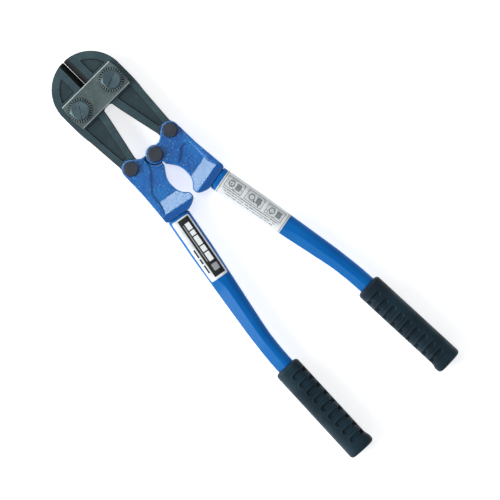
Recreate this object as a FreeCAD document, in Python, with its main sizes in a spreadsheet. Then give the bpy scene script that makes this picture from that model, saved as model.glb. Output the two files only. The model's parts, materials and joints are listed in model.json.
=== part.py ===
import FreeCAD, Part
import os
import re
import Sketcher

# Bolt cutters. Millimetres, +Y from the centre pivot towards the cutting tips, +X towards the
# right handle, +Z up. The origin is the centre of the pivot nut's underside, on the resting plane.
# Each body is drawn about the tool's mid plane, so its own Z 0 is half way up the tool.

DRIVING_SIZES = {
    # stack of layers through the pivots
    "overall_height": 30.0,
    "casting_thick": 21.0,
    "blade_thick": 11.0,
    "strap_thick": 5.0,
    "face_gap": 0.1,
    "running_gap": 0.05,
    "lap_gap": 0.2,
    # pivot layout
    "jaw_pin_side": 25.6,
    "jaw_pin_rise": 6.3,
    "strap_pin_side": 20.3,
    "strap_pin_rise": 77.9,
    # fasteners
    "hub_bolt_radius": 4.5,
    "hub_hex_width": 13.0,
    "jaw_bolt_radius": 4.0,
    "jaw_hex_width": 12.4,
    "strap_bolt_radius": 4.8,
    "strap_hex_width": 17.0,
    "strap_face_radius": 7.9,
    "screw_slot_width": 1.1,
    "screw_slot_depth": 0.7,
    "crown_slope": 0.58,
    "left_slot_angle": 57.0,
    "right_slot_angle": 23.0,
    "ring_radius": 11.4,
    "ring_thick": 0.8,
    "ring_tooth_length": 2.2,
    "ring_tooth_count": 38.0,
    # blades
    "head_radius": 36.4,
    "head_rise": 85.0,
    "tip_gap": 0.16,
    "root_gap": 0.14,
    "bevel_width": 5.6,
    "bevel_land": 0.5,
    "bevel_root_rise": 90.5,
    "tail_radius": 8.0,
    "tail_inset": 10.3,
    "arm_outer_side": 32.2,
    "arm_rib": 6.0,
    "panel_depth": 1.0,
    "panel_draft": 38.0,
    "blade_chamfer": 0.7,
    "slip_inward": 4.2,
    "slip_outward": 1.1,
    "slip_side_gap": 0.9,
    # straps
    "strap_half_length": 30.6,
    "strap_bulge": 1.4,
    "strap_front": 13.9,
    "strap_back": 14.1,
    "strap_chamfer": 0.8,
    # castings
    "ear_radius": 8.8,
    "hub_radius": 9.2,
    "hub_sweep_gap": 0.5,
    "tail_gap": 0.6,
    "open_angle": 57.0,
    "bumper_gap": 3.5,
    "bumper_rise": -49.5,
    "recess_depth": 1.5,
    "end_drop": 1.9,
    "facet_length": 13.6,
    "bevel_length": 7.0,
    # handles
    "handle_tilt": 10.5,
    "grip_tilt": 2.4,
    "tube_start_side": 25.6,
    "tube_start_rise": -55.6,
    "straight_length": 122.0,
    "bend_length": 50.0,
    "grip_length": 105.0,
    "grip_overlap": 92.0,
    "taper_start": 40.0,
    "taper_length": 100.0,
    "tube_top_width": 22.5,
    "tube_end_width": 17.0,
    "tube_top_height": 18.0,
    "tube_end_height": 20.0,
    "tube_corner": 7.0,
    "tube_wall": 1.8,
    "tube_joint_gap": 0.4,
    "spigot_length": 24.0,
    "fit_gap": 0.05,
    "grip_width": 26.4,
    "grip_corner": 8.0,
    "grip_flare": 1.6,
    "grip_end_radius": 3.0,
    "grip_end_inset": 1.6,
    "flare_length": 12.0,
    "finger_slot_width": 5.0,
    "finger_slot_length": 16.0,
    "finger_slot_depth": 1.2,
    "finger_slot_pitch": 9.8,
    "finger_slot_count": 9.0,
    "first_slot_drop": 12.0,
    # labels
    "label_thick": 0.25,
    "label_lift": 0.02,
    "left_label_drop": 2.6,
    "left_label_length": 66.0,
    "left_label_width": 18.8,
    "left_label_corner": 2.0,
    "right_label_drop": 5.0,
    "right_label_length": 71.5,
}

doc = FreeCAD.newDocument("bolt_cutters")
sizes = doc.addObject("Spreadsheet::Sheet", "Sizes")
for row, (alias, number) in enumerate(DRIVING_SIZES.items(), start=1):
    sizes.set(f"A{row}", alias.replace("_", " "))
    sizes.set(f"B{row}", str(number))
    sizes.setAlias(f"B{row}", alias)
doc.recompute()

# Derived lengths, as formulas of the sheet's cells.
HALF_CASTING = "casting_thick / 2"
HALF_BLADE = "blade_thick / 2"
STRAP_INNER = f"({HALF_BLADE} + face_gap)"
STRAP_OUTER = f"({STRAP_INNER} + strap_thick)"
HALF_HEIGHT = "overall_height / 2"
HALF_FLOOR = f"({HALF_CASTING} - recess_depth)"
TUBE_WIDTH_LOSS = "(tube_top_width - tube_end_width)"
TUBE_HEIGHT_GAIN = "(tube_end_height - tube_top_height)"


def bound(formula):
    """Put the sheet's name before every alias in a formula."""
    return re.sub(
        r"[a-z][a-z_]+",
        lambda word: "Sizes." + word[0] if word[0] in DRIVING_SIZES else word[0],
        str(formula),
    )


def number(formula):
    """Today's value of a formula of the sheet's cells."""
    return float(sizes.evalExpression(bound(formula)))


def origin_plane(body, role):
    """One of a body's own origin planes."""
    return next(plane for plane in body.Origin.OriginFeatures if plane.Role == role)


def new_body(label, side_formula="0", rise_formula="0", height_formula=HALF_HEIGHT):
    """A body placed in the tool's frame by bound coordinates."""
    body = doc.addObject("PartDesign::Body", label)
    body.Label = label
    body.setExpression("Placement.Base.x", bound(side_formula))
    body.setExpression("Placement.Base.y", bound(rise_formula))
    body.setExpression("Placement.Base.z", bound(height_formula))
    return body


def new_sketch(body, name, role="XY_Plane", lift="0"):
    """A sketch on an origin plane of its body, lifted off it by a bound distance."""
    sketch = body.newObject("Sketcher::SketchObject", name)
    sketch.AttachmentSupport = [(origin_plane(body, role), "")]
    sketch.MapMode = "FlatFace"
    sketch.setExpression("AttachmentOffset.Base.z", bound(lift))
    return sketch


def pin_point(sketch, geometry, position, corner):
    """Bind one point of a sketch to a pair of formulas."""
    for kind, formula in zip(("DistanceX", "DistanceY"), corner):
        index = sketch.addConstraint(
            Sketcher.Constraint(kind, -1, 1, geometry, position, number(formula))
        )
        sketch.setExpression(f"Constraints[{index}]", bound(formula))


def vector(corner):
    """Today's place of a corner given as two formulas."""
    return FreeCAD.Vector(number(corner[0]), number(corner[1]), 0)


def draw_outline(sketch, path):
    """Close a loop through corners (x, y); an entry ("via", x, y) bends the next side into an arc."""
    corners = [entry for entry in path if entry[0] != "via"]
    bends = {}
    seen = 0
    for entry in path:
        if entry[0] == "via":
            bends[seen - 1] = entry[1:]
        else:
            seen += 1
    ends = []
    for place, corner in enumerate(corners):
        start, finish = vector(corner), vector(corners[(place + 1) % len(corners)])
        if place not in bends:
            ends.append((sketch.addGeometry(Part.LineSegment(start, finish)), 1, 2))
            continue
        middle = vector(bends[place])
        turn = (middle - start).cross(finish - middle).z
        if turn > 0:
            ends.append((sketch.addGeometry(Part.Arc(start, middle, finish)), 1, 2))
        else:
            ends.append((sketch.addGeometry(Part.Arc(finish, middle, start)), 2, 1))
    for place, (side, first, last) in enumerate(ends):
        following, following_first, _ = ends[(place + 1) % len(ends)]
        sketch.addConstraint(Sketcher.Constraint("Coincident", side, last, following, following_first))
        pin_point(sketch, side, first, corners[place])
        if place in bends:
            dot = sketch.addGeometry(Part.Point(vector(bends[place])), True)
            sketch.addConstraint(Sketcher.Constraint("PointOnObject", dot, 1, side))
            pin_point(sketch, dot, 1, bends[place])


def draw_circle(sketch, centre, radius):
    """A circle whose centre and radius are bound to formulas."""
    circle = sketch.addGeometry(Part.Circle(vector(centre), FreeCAD.Vector(0, 0, 1), number(radius)))
    pin_point(sketch, circle, 3, centre)
    index = sketch.addConstraint(Sketcher.Constraint("Radius", circle, number(radius)))
    sketch.setExpression(f"Constraints[{index}]", bound(radius))


def mirrored_side(side, path):
    """The same outline on the left (side -1) or right (side 1) of the centre line."""
    turned = []
    for entry in path:
        if entry[0] == "via":
            turned.append(("via", f"{side} * ({entry[1]})", entry[2]))
        else:
            turned.append((f"{side} * ({entry[0]})", entry[1]))
    return turned


def pad(body, sketch, length, midplane=False, downward=False):
    """Raise a sketch to a bound height."""
    feature = body.newObject("PartDesign::Pad", sketch.Name + "_pad")
    feature.Profile = sketch
    feature.setExpression("Length", bound(length))
    feature.Midplane = midplane
    feature.Reversed = downward
    return feature


def cut_through(body, sketch):
    """Cut a sketch right through, both ways."""
    feature = body.newObject("PartDesign::Pocket", sketch.Name + "_cut")
    feature.Profile = sketch
    feature.Type = "ThroughAll"
    feature.Midplane = True
    return feature


def cut_depth(body, sketch, length, midplane=False, upward=False, draft=None):
    """Cut a sketch down to a depth, with sloping walls where a draft angle is given."""
    feature = body.newObject("PartDesign::Pocket", sketch.Name + "_cut")
    feature.Profile = sketch
    feature.setExpression("Length", bound(length))
    feature.Midplane = midplane
    feature.Reversed = upward
    if draft:
        feature.setExpression("TaperAngle", bound(f"-{draft}"))
    return feature


def on_both_faces(body, feature, role="XY_Plane"):
    """Repeat a feature on the other side of the mid plane."""
    mirror = body.newObject("PartDesign::Mirrored", feature.Name + "_mirror")
    mirror.Originals = [feature]
    mirror.MirrorPlane = (origin_plane(body, role), [""])
    body.Tip = mirror
    return mirror


def ease_edges(body, feature, size, heights, name):
    """Chamfer the edges of a feature that lie wholly at the stated heights."""
    doc.recompute()
    levels = [number(height) for height in heights]
    chosen = []
    for place, edge in enumerate(feature.Shape.Edges, start=1):
        box = edge.BoundBox
        if box.ZLength < 1e-4 and any(abs(box.ZMin - level) < 1e-4 for level in levels):
            chosen.append(f"Edge{place}")
    chamfer = body.newObject("PartDesign::Chamfer", name)
    chamfer.Base = (feature, chosen)
    chamfer.setExpression("Size", bound(size))
    return chamfer


def hexagon(across_flats):
    """Corners of a hexagon about its own centre, two of them on the Y axis."""
    radius = f"(({across_flats}) / 2 / cos(30))"
    return [(f"{radius} * sin({60 * step})", f"{radius} * cos({60 * step})") for step in range(6)]


def trim_corners(body, across_flats, face_radius, slope, height):
    """Turn the corners of a hexagonal head down to a round face, with a stated slope beyond it."""
    sketch = new_sketch(body, body.Name + "_crown", "XZ_Plane")
    outside = f"(({across_flats}) / 2 / cos(30) + 1)"
    draw_outline(sketch, [
        (face_radius, height),
        (outside, height),
        (outside, f"({height}) - ({slope}) * ({outside} - ({face_radius}))"),
    ])
    feature = body.newObject("PartDesign::Groove", body.Name + "_crown_cut")
    feature.Profile = sketch
    feature.ReferenceAxis = (sketch, ["V_Axis"])
    feature.Angle = 360
    return feature


# ---------------------------------------------------------------- fasteners


def bolt(label, side, rise, shank, across_flats, head_bottom, face_radius, slot_angle=None):
    """A hexagonal head on a plain shank that reaches down to the resting plane."""
    body = new_body(label, side, rise)
    head = new_sketch(body, label + "_hex", lift=head_bottom)
    draw_outline(head, hexagon(across_flats))
    pad(body, head, f"{HALF_HEIGHT} - ({head_bottom})")
    trim_corners(body, across_flats, face_radius, "crown_slope", HALF_HEIGHT)
    rod = new_sketch(body, label + "_shank", lift=head_bottom)
    draw_circle(rod, ("0", "0"), shank)
    pad(body, rod, f"{HALF_HEIGHT} + ({head_bottom})", downward=True)
    if slot_angle:
        slot = new_sketch(body, label + "_slot", lift=HALF_HEIGHT)
        slot.setExpression("AttachmentOffset.Rotation.Angle", bound(slot_angle))
        reach = "strap_hex_width"
        half = "screw_slot_width / 2"
        draw_outline(slot, [(f"-{reach}", f"-{half}"), (reach, f"-{half}"), (reach, half), (f"-{reach}", half)])
        cut_depth(body, slot, "screw_slot_depth")
    return body


def nut(label, side, rise, shank, across_flats, top, face_radius):
    """A hexagonal nut whose underside lies on the resting plane."""
    body = new_body(label, side, rise)
    outline = new_sketch(body, label + "_hex", lift=f"-({HALF_HEIGHT})")
    draw_outline(outline, hexagon(across_flats))
    pad(body, outline, f"{HALF_HEIGHT} - ({top})")
    trim_corners(body, across_flats, face_radius, "-crown_slope", f"-({HALF_HEIGHT})")
    thread = new_sketch(body, label + "_thread")
    draw_circle(thread, ("0", "0"), f"{shank} + fit_gap")
    cut_through(body, thread)
    return body


def lock_ring(label, side):
    """A thin washer with radial teeth around its rim."""
    body = new_body(label, side, "strap_pin_rise")
    disc = new_sketch(body, label + "_disc", lift=STRAP_OUTER)
    draw_circle(disc, ("0", "0"), "ring_radius")
    pad(body, disc, "ring_thick")
    bore = new_sketch(body, label + "_bore")
    draw_circle(bore, ("0", "0"), "strap_bolt_radius + fit_gap")
    cut_through(body, bore)
    notch = new_sketch(body, label + "_notch")
    root = "ring_radius - ring_tooth_length"
    spread = "tan(90 / ring_tooth_count)"
    draw_outline(notch, [
        (root, f"-0.3 * ({root}) * {spread}"),
        ("ring_radius + 1", f"-(ring_radius + 1) * {spread}"),
        ("ring_radius + 1", f"(ring_radius + 1) * {spread}"),
        (root, f"0.3 * ({root}) * {spread}"),
    ])
    first = cut_through(body, notch)
    doc.recompute()
    pattern = body.newObject("PartDesign::PolarPattern", label + "_teeth")
    pattern.Originals = [first]
    pattern.Axis = (notch, ["N_Axis"])
    pattern.Angle = 360
    pattern.setExpression("Occurrences", bound("ring_tooth_count"))
    body.Tip = pattern
    return body


# ---------------------------------------------------------------- blades and straps


def jaw(label, side, loose):
    """A forged blade: cutting edge, strap hole, ribbed arm and round tail on the jaw bolt."""
    body = new_body(label)
    outline = new_sketch(body, label + "_outline")
    arc_x, arc_y = "head_radius * sin(45)", "head_rise + head_radius * cos(45)"
    tip_y = "head_rise + sqrt(head_radius ^ 2 - (tip_gap + 0.5) ^ 2)"
    tail_x, tail_y = "jaw_pin_side", "jaw_pin_rise"
    tail_bow = "(tail_inset / 2 + 0.64 * tail_radius)"
    draw_outline(outline, mirrored_side(side, [
        ("tip_gap + 0.5", tip_y),
        ("via", arc_x, arc_y),
        ("head_radius", "head_rise"),
        ("head_radius", "strap_pin_rise - 8"),
        ("via", "head_radius - 0.5", "strap_pin_rise - 19"),
        ("arm_outer_side + 2.6", "strap_pin_rise - 28"),
        ("arm_outer_side", f"{tail_y} + tail_radius"),
        (f"{tail_x} + tail_radius * cos(20)", f"{tail_y} + tail_radius * sin(20)"),
        ("via", f"{tail_x} + tail_radius * cos(-45)", f"{tail_y} + tail_radius * sin(-45)"),
        (f"{tail_x} - tail_radius * cos(72)", f"{tail_y} - tail_radius * sin(72)"),
        ("via", f"{tail_x} - {tail_bow} * cos(33)", f"{tail_y} - {tail_bow} * sin(33)"),
        (f"{tail_x} - tail_inset", f"{tail_y} + 0.5"),
        (f"{tail_x} - tail_inset + 0.1", f"{tail_y} + 6"),
        ("via", "11.2", "31.5"),
        ("7.2", "strap_pin_rise - 28"),
        ("via", "5.5", "strap_pin_rise - 19"),
        ("4.9", "strap_pin_rise - 15.5"),
        ("2.9", "strap_pin_rise - 14.4"),
        ("root_gap", "strap_pin_rise - 2"),
        ("root_gap", "bevel_root_rise"),
        ("tip_gap", f"{tip_y} - 1"),
    ]))
    blank = pad(body, outline, "blade_thick", midplane=True)
    ease_edges(body, blank, "blade_chamfer", [HALF_BLADE, f"-{HALF_BLADE}"], label + "_eased")

    # the cutting edge, ground from both faces down to a narrow land
    bevel = new_sketch(body, label + "_bevel", "XZ_Plane", lift="-bevel_root_rise")
    draw_outline(bevel, mirrored_side(side, [
        ("0", "bevel_land / 2"),
        ("bevel_width", f"{HALF_BLADE}"),
        ("bevel_width", f"{HALF_BLADE} + 1"),
        ("0", f"{HALF_BLADE} + 1"),
    ]))
    upper_bevel = cut_depth(body, bevel, "head_rise + head_radius")
    on_both_faces(body, upper_bevel)

    # sector-shaped pocket in front of the strap
    sector = new_sketch(body, label + "_sector", lift=HALF_BLADE)
    inner_radius = "(head_radius - 7.4)"
    sector_inner, sector_low = "12", "strap_pin_rise + strap_front + 2.4"
    draw_outline(sector, mirrored_side(side, [
        (sector_inner, sector_low),
        (f"sqrt({inner_radius} ^ 2 - ({sector_low} - head_rise) ^ 2)", sector_low),
        ("via", f"{inner_radius} * cos(42)", f"head_rise + {inner_radius} * sin(42)"),
        (sector_inner, f"head_rise + sqrt({inner_radius} ^ 2 - ({sector_inner}) ^ 2)"),
    ]))
    upper_sector = cut_depth(body, sector, "panel_depth", draft="panel_draft")
    on_both_faces(body, upper_sector)

    # long panel between the two ribs of the arm
    panel = new_sketch(body, label + "_panel", lift=HALF_BLADE)
    panel_top, panel_low = "strap_pin_rise - strap_back - 1.5", "jaw_pin_rise + ear_radius + 1.5"
    draw_outline(panel, mirrored_side(side, [
        ("12.3", panel_top),
        ("via", "16.4", "41"),
        ("tail_inset + 10.7", panel_low),
        ("arm_outer_side - arm_rib - 0.3", panel_low),
        ("via", "arm_outer_side - arm_rib + 1.7", "40"),
        ("arm_outer_side - arm_rib + 3.1", panel_top),
    ]))
    upper_panel = cut_depth(body, panel, "panel_depth", draft="panel_draft")
    on_both_faces(body, upper_panel)

    tail_hole = new_sketch(body, label + "_tail_hole")
    draw_circle(tail_hole, (f"{side} * {tail_x}", tail_y), "jaw_bolt_radius + running_gap")
    cut_through(body, tail_hole)
    strap_hole = new_sketch(body, label + "_strap_hole")
    if loose:
        # the slot lets the strap bolt slip sideways while the handles pass mid travel
        half = "strap_bolt_radius + slip_side_gap"
        inner_x, outer_x = "strap_pin_side - slip_inward", "strap_pin_side + slip_outward"
        draw_outline(strap_hole, mirrored_side(side, [
            (inner_x, f"strap_pin_rise + {half}"),
            ("via", f"{inner_x} - ({half})", "strap_pin_rise"),
            (inner_x, f"strap_pin_rise - ({half})"),
            (outer_x, f"strap_pin_rise - ({half})"),
            ("via", f"{outer_x} + {half}", "strap_pin_rise"),
            (outer_x, f"strap_pin_rise + {half}"),
        ]))
    else:
        draw_circle(strap_hole, (f"{side} * strap_pin_side", "strap_pin_rise"), "strap_bolt_radius + running_gap")
    cut_through(body, strap_hole)
    return body


def strap(label, upper):
    """A flat plate across both blades, with bowed ends and chamfered long edges."""
    body = new_body(label)
    inner, outer = (STRAP_INNER, STRAP_OUTER) if upper else (f"-{STRAP_OUTER}", f"-{STRAP_INNER}")
    outline = new_sketch(body, label + "_outline", lift=inner)
    front, back = "strap_pin_rise + strap_front", "strap_pin_rise - strap_back"
    middle = "strap_pin_rise + (strap_front - strap_back) / 2"
    draw_outline(outline, [
        ("strap_half_length", front),
        ("-strap_half_length", front),
        ("via", "-(strap_half_length + strap_bulge)", middle),
        ("-strap_half_length", back),
        ("strap_half_length", back),
        ("via", "strap_half_length + strap_bulge", middle),
    ])
    pad(body, outline, "strap_thick")
    holes = new_sketch(body, label + "_holes")
    for side in (-1, 1):
        draw_circle(holes, (f"{side} * strap_pin_side", "strap_pin_rise"), "strap_bolt_radius + fit_gap")
    last = cut_through(body, holes)
    doc.recompute()
    face_height = number(outer)
    long_edges = []
    for place, edge in enumerate(last.Shape.Edges, start=1):
        box = edge.BoundBox
        flat = box.ZLength < 1e-4 and abs(box.ZMin - face_height) < 1e-4
        if flat and box.XLength > number("strap_half_length") and box.YLength < 1e-4:
            long_edges.append(f"Edge{place}")
    chamfer = body.newObject("PartDesign::Chamfer", label + "_chamfer")
    chamfer.Base = (last, long_edges)
    chamfer.setExpression("Size", bound("strap_chamfer"))
    return body


# ---------------------------------------------------------------- handle castings


def across(distance, x_formula):
    """Height, at a given side, of a line parallel to the casting's end face and a distance above it."""
    return (
        f"tube_start_rise + (({x_formula}) - tube_start_side) * tan(handle_tilt)"
        f" + ({distance}) / cos(handle_tilt)"
    )


def casting(label, side, half):
    """A cast handle head: clevis ear for the blade, lapped hub at the centre, bumper and facet."""
    body = new_body(label)
    px, py = "jaw_pin_side", "jaw_pin_rise"
    top_y = f"{py} + ear_radius + 2"
    outer_x = "tube_start_side + 14"

    # web at the recessed level, right across
    web = new_sketch(body, label + "_web")
    draw_outline(web, mirrored_side(side, [
        ("-1", across("bevel_length", "-1")),
        (outer_x, across("bevel_length", outer_x)),
        (outer_x, top_y),
        ("-1", top_y),
    ]))
    pad(body, web, f"2 * {HALF_FLOOR}", midplane=True)

    # raised ear, hub and outer rim at full thickness
    raised = new_sketch(body, label + "_raised")
    rim_end = ("34.2", across("bevel_length", "34.2"))
    rim = [(outer_x, across("bevel_length", outer_x)), (outer_x, top_y), ("-1", top_y)]
    if side < 0:
        step = [
            ("-1", "4"), ("11", "4.4"), ("10.6", "1.5"), ("via", "12", "-4"), ("16", "-10"),
            ("26", "-21"), ("via", "28.6", "-25"), ("29.5", "-32"), ("30.6", "-40"),
        ]
    else:
        step = [
            ("-1", "-10.6"), ("5", "-14.4"), ("9.8", "-20.3"), ("via", "14.6", "-18.2"),
            ("19", "-14.2"), ("via", "25", "-11.8"), ("30.4", "-15.6"), ("31.4", "-20"), ("31.2", "-38"),
        ]
    draw_outline(raised, mirrored_side(side, step + [rim_end] + rim))
    pad(body, raised, "casting_thick", midplane=True)

    # facet that climbs to the ridge, then falls to the end face
    wedge = new_sketch(body, label + "_wedge", "YZ_Plane")
    wedge.AttachmentOffset = FreeCAD.Placement(
        FreeCAD.Vector(), FreeCAD.Rotation(FreeCAD.Vector(0, 1, 0), side * number("handle_tilt"))
    )
    wedge.setExpression("AttachmentOffset.Rotation.Angle", bound(f"{side} * handle_tilt"))
    foot = "(tube_start_rise * cos(handle_tilt) - tube_start_side * sin(handle_tilt))"
    ridge = f"{foot} + bevel_length"
    facet_top = f"{ridge} + facet_length"
    half_end = f"({HALF_CASTING} - end_drop)"
    draw_outline(wedge, [
        (facet_top, HALF_FLOOR), (ridge, HALF_CASTING), (foot, half_end),
        (foot, f"-{half_end}"), (ridge, f"-({HALF_CASTING})"), (facet_top, f"-{HALF_FLOOR}"),
    ])
    pad(body, wedge, "6 * tube_start_side", midplane=True)

    # silhouette
    trim = new_sketch(body, label + "_silhouette")
    far = "4 * tube_start_side"
    draw_outline(trim, [(f"-({far})", f"-2 * ({far})"), (far, f"-2 * ({far})"), (far, far), (f"-({far})", far)])
    nose_x = "bumper_gap / 2"
    draw_outline(trim, mirrored_side(side, [
        ("0", "7"),
        ("3.6", "7.6"),
        ("via", "8.4", "6.1"),
        ("13.6", "7.8"),
        (f"{px} - ear_radius * cos(54)", f"{py} + ear_radius * sin(54)"),
        ("via", f"{px} + ear_radius * cos(80)", f"{py} + ear_radius * sin(80)"),
        (f"{px} + ear_radius * cos(2)", f"{py} + ear_radius * sin(2)"),
        ("35", "-19"),
        ("tube_start_side + 12", across("4.5", "tube_start_side + 12")),
        ("via", "tube_start_side + 12", across("1.8", "tube_start_side + 12")),
        ("tube_start_side + 10.4", across("0", "tube_start_side + 10.4")),
        ("tube_start_side - 11.6", across("0", "tube_start_side - 11.6")),
        ("via", "8.6", "bumper_rise - 6.9"),
        ("5", "bumper_rise - 5.2"),
        ("via", nose_x, "bumper_rise + 0.3"),
        ("3.2", "bumper_rise + 3.7"),
        ("via", "7.5", "-40.4"),
        ("9", "-33"),
        ("via", "8.3", "-24.9"),
        ("5", "-18.6"),
        ("0.75", "-12.6"),
        ("0.6", "-8.9"),
        ("0", "-8.4"),
    ]))
    cut_through(body, trim)

    # lap at the centre: the other casting's hub turns in the space cut here
    sweep = new_sketch(body, label + "_sweep", lift=f"{half} * lap_gap / 2")
    draw_circle(sweep, ("0", "0"), "hub_radius + hub_sweep_gap")
    cut_depth(body, sweep, "casting_thick", upward=half < 0)
    hub = new_sketch(body, label + "_hub", lift=f"{half} * lap_gap / 2")
    draw_circle(hub, ("0", "0"), "hub_radius")
    pad(body, hub, f"{HALF_CASTING} - lap_gap / 2", downward=half < 0)

    # clevis slot: the blade's tail turns in it, and leaves it on the outer side when open
    slot = new_sketch(body, label + "_slot")
    tail_reach = "(tail_radius + tail_gap)"
    inner_reach = "(tail_inset + tail_gap + 0.3)"
    start_x = f"{px} + {tail_reach} * cos(open_angle)"
    start_y = f"{py} - {tail_reach} * sin(open_angle)"
    draw_outline(slot, mirrored_side(side, [
        (f"{px} - {inner_reach}", f"{py} + ear_radius + 4"),
        (f"{px} - {inner_reach}", py),
        ("via", f"{px} - {inner_reach} * cos(40)", f"{py} - {inner_reach} * sin(40)"),
        (f"{px} - {tail_reach} * cos(75)", f"{py} - {tail_reach} * sin(75) - 0.3"),
        ("via", f"{px} + {tail_reach} * cos(80)", f"{py} - {tail_reach} * sin(80)"),
        (start_x, start_y),
        (f"{start_x} + 14", f"{start_y} + 14 / tan(open_angle)"),
        (f"{start_x} + 14", f"{py} + ear_radius + 4"),
    ]))
    cut_depth(body, slot, "blade_thick + 2 * face_gap", midplane=True)

    holes = new_sketch(body, label + "_holes")
    draw_circle(holes, ("0", "0"), "hub_bolt_radius + running_gap")
    draw_circle(holes, (f"{side} * {px}", py), "jaw_bolt_radius + fit_gap")
    cut_through(body, holes)

    # spigot that the tube is pressed over
    loft(body, label + "_spigot", side, ["-0.5", "spigot_length"],
         lambda sketch, place: inner_section(sketch, place, "fit_gap"))
    return body


# ---------------------------------------------------------------- tubes, grips and labels

BEND = "(handle_tilt - grip_tilt)"


def station(distance):
    """Side, rise and tilt of the handle's centre line at a number of millimetres down from its start."""
    millimetres = number(distance)
    straight, bend = number("straight_length"), number("bend_length")
    straight_side = "tube_start_side + ({0}) * sin(handle_tilt)"
    straight_rise = "tube_start_rise - ({0}) * cos(handle_tilt)"
    if millimetres <= straight:
        return straight_side.format(distance), straight_rise.format(distance), "handle_tilt"
    corner_side = straight_side.format("straight_length")
    corner_rise = straight_rise.format("straight_length")
    radius = f"(bend_length / {BEND} * 180 / pi)"
    along = f"(({distance}) - straight_length)" if millimetres <= straight + bend else "bend_length"
    tilt = f"(handle_tilt - {BEND} * {along} / bend_length)"
    side = f"{corner_side} + {radius} * (cos{tilt} - cos(handle_tilt))"
    rise = f"{corner_rise} - {radius} * (sin(handle_tilt) - sin{tilt})"
    if millimetres > straight + bend:
        beyond = f"(({distance}) - straight_length - bend_length)"
        side = f"{side} + {beyond} * sin(grip_tilt)"
        rise = f"{rise} - {beyond} * cos(grip_tilt)"
        tilt = "grip_tilt"
    return side, rise, tilt


def place_section(sketch, side, distance):
    """Set a sketch square to the handle's centre line; its local Y is the tool's Z."""
    across_x, along_y, tilt = station(distance)
    sketch.AttachmentOffset = FreeCAD.Placement(
        FreeCAD.Vector(), FreeCAD.Rotation(FreeCAD.Vector(0, 1, 0), side * number(tilt))
    )
    sketch.setExpression("AttachmentOffset.Base.x", bound(f"{side} * ({across_x})"))
    sketch.setExpression("AttachmentOffset.Base.z", bound(f"-({along_y})"))
    sketch.setExpression("AttachmentOffset.Rotation.Angle", bound(f"{side} * {tilt}"))


def rounded_section(sketch, width, height, corner, shift="0"):
    """A rectangle with round corners about the sketch's origin."""
    half_w, half_h = f"(({width}) / 2)", f"(({height}) / 2)"
    diagonal = f"({corner}) * (1 - sin(45))"
    path = []
    for sx, sy in ((1, 1), (-1, 1), (-1, -1), (1, -1)):
        flat_first = (f"{sx} * ({half_w} - ({corner})) + {shift}", f"{sy} * {half_h}")
        flat_last = (f"{sx} * {half_w} + {shift}", f"{sy} * ({half_h} - ({corner}))")
        middle = ("via", f"{sx} * ({half_w} - {diagonal}) + {shift}", f"{sy} * ({half_h} - {diagonal})")
        corners = [flat_last, middle, flat_first] if sx * sy > 0 else [flat_first, middle, flat_last]
        path += corners
    draw_outline(sketch, path)


TUBE_RUN = "(straight_length + bend_length + grip_overlap)"


def tube_size(distance):
    """Width and height of the tube, which is even at the top, narrows, and is even again."""
    share = f"max(0; min(1; (({distance}) - taper_start) / taper_length))"
    return f"tube_top_width - {TUBE_WIDTH_LOSS} * {share}", f"tube_top_height + {TUBE_HEIGHT_GAIN} * {share}"


def inner_section(sketch, distance, gap):
    """The tube's bore, drawn smaller by a gap for what fits inside it."""
    width, height = tube_size(distance)
    loss = f"2 * (tube_wall + {gap})"
    rounded_section(sketch, f"{width} - {loss}", f"{height} - {loss}", f"tube_corner - tube_wall - {gap}")


def loft(body, name, side, stations, draw, subtract=False):
    """Loft through sections square to the handle's centre line: straight sides between two of them."""
    sections = []
    for place, distance in enumerate(stations):
        sketch = body.newObject("Sketcher::SketchObject", f"{name}_{place}")
        sketch.AttachmentSupport = [(origin_plane(body, "XZ_Plane"), "")]
        sketch.MapMode = "FlatFace"
        place_section(sketch, side, distance)
        draw(sketch, distance)
        sections.append(sketch)
    doc.recompute()
    kind = "PartDesign::SubtractiveLoft" if subtract else "PartDesign::AdditiveLoft"
    feature = body.newObject(kind, name + "_loft")
    feature.Profile = sections[0]
    feature.Sections = sections[1:]
    feature.Ruled = len(sections) == 2
    return feature


def run_lofts(body, name, side, start, finish, draw, subtract=False):
    """Lofts that follow the tube from one place to another, in one piece for each of its stretches."""
    bend_end = "(straight_length + bend_length)"
    joints = [place for place in ("taper_start", "straight_length", bend_end)
              if number(start) < number(place) < number(finish)]
    places = [start] + joints + [finish]
    for step, (first, last) in enumerate(zip(places, places[1:])):
        stations = [first, last]
        if first == "straight_length" and last == bend_end:
            stations = [f"(straight_length + {share} * bend_length)" for share in (0, 0.25, 0.5, 0.75, 1)]
        loft(body, f"{name}_{step}", side, stations, draw, subtract)


def outer_section(gap):
    """A drawing function for the tube's outside, grown by a gap."""
    def draw(sketch, distance):
        width, height = tube_size(distance)
        rounded_section(sketch, f"{width} + 2 * ({gap})", f"{height} + 2 * ({gap})", f"tube_corner + {gap}")
    return draw


def tube(label, side):
    """A drawn steel tube that narrows in plan and bends towards the grip."""
    body = new_body(label)
    run_lofts(body, label + "_skin", side, "tube_joint_gap", TUBE_RUN, outer_section("0"))
    run_lofts(body, label + "_bore", side, "tube_joint_gap", TUBE_RUN,
              lambda sketch, place: inner_section(sketch, place, "0"), subtract=True)
    return body


GRIP_START = "(straight_length + bend_length)"


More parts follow.
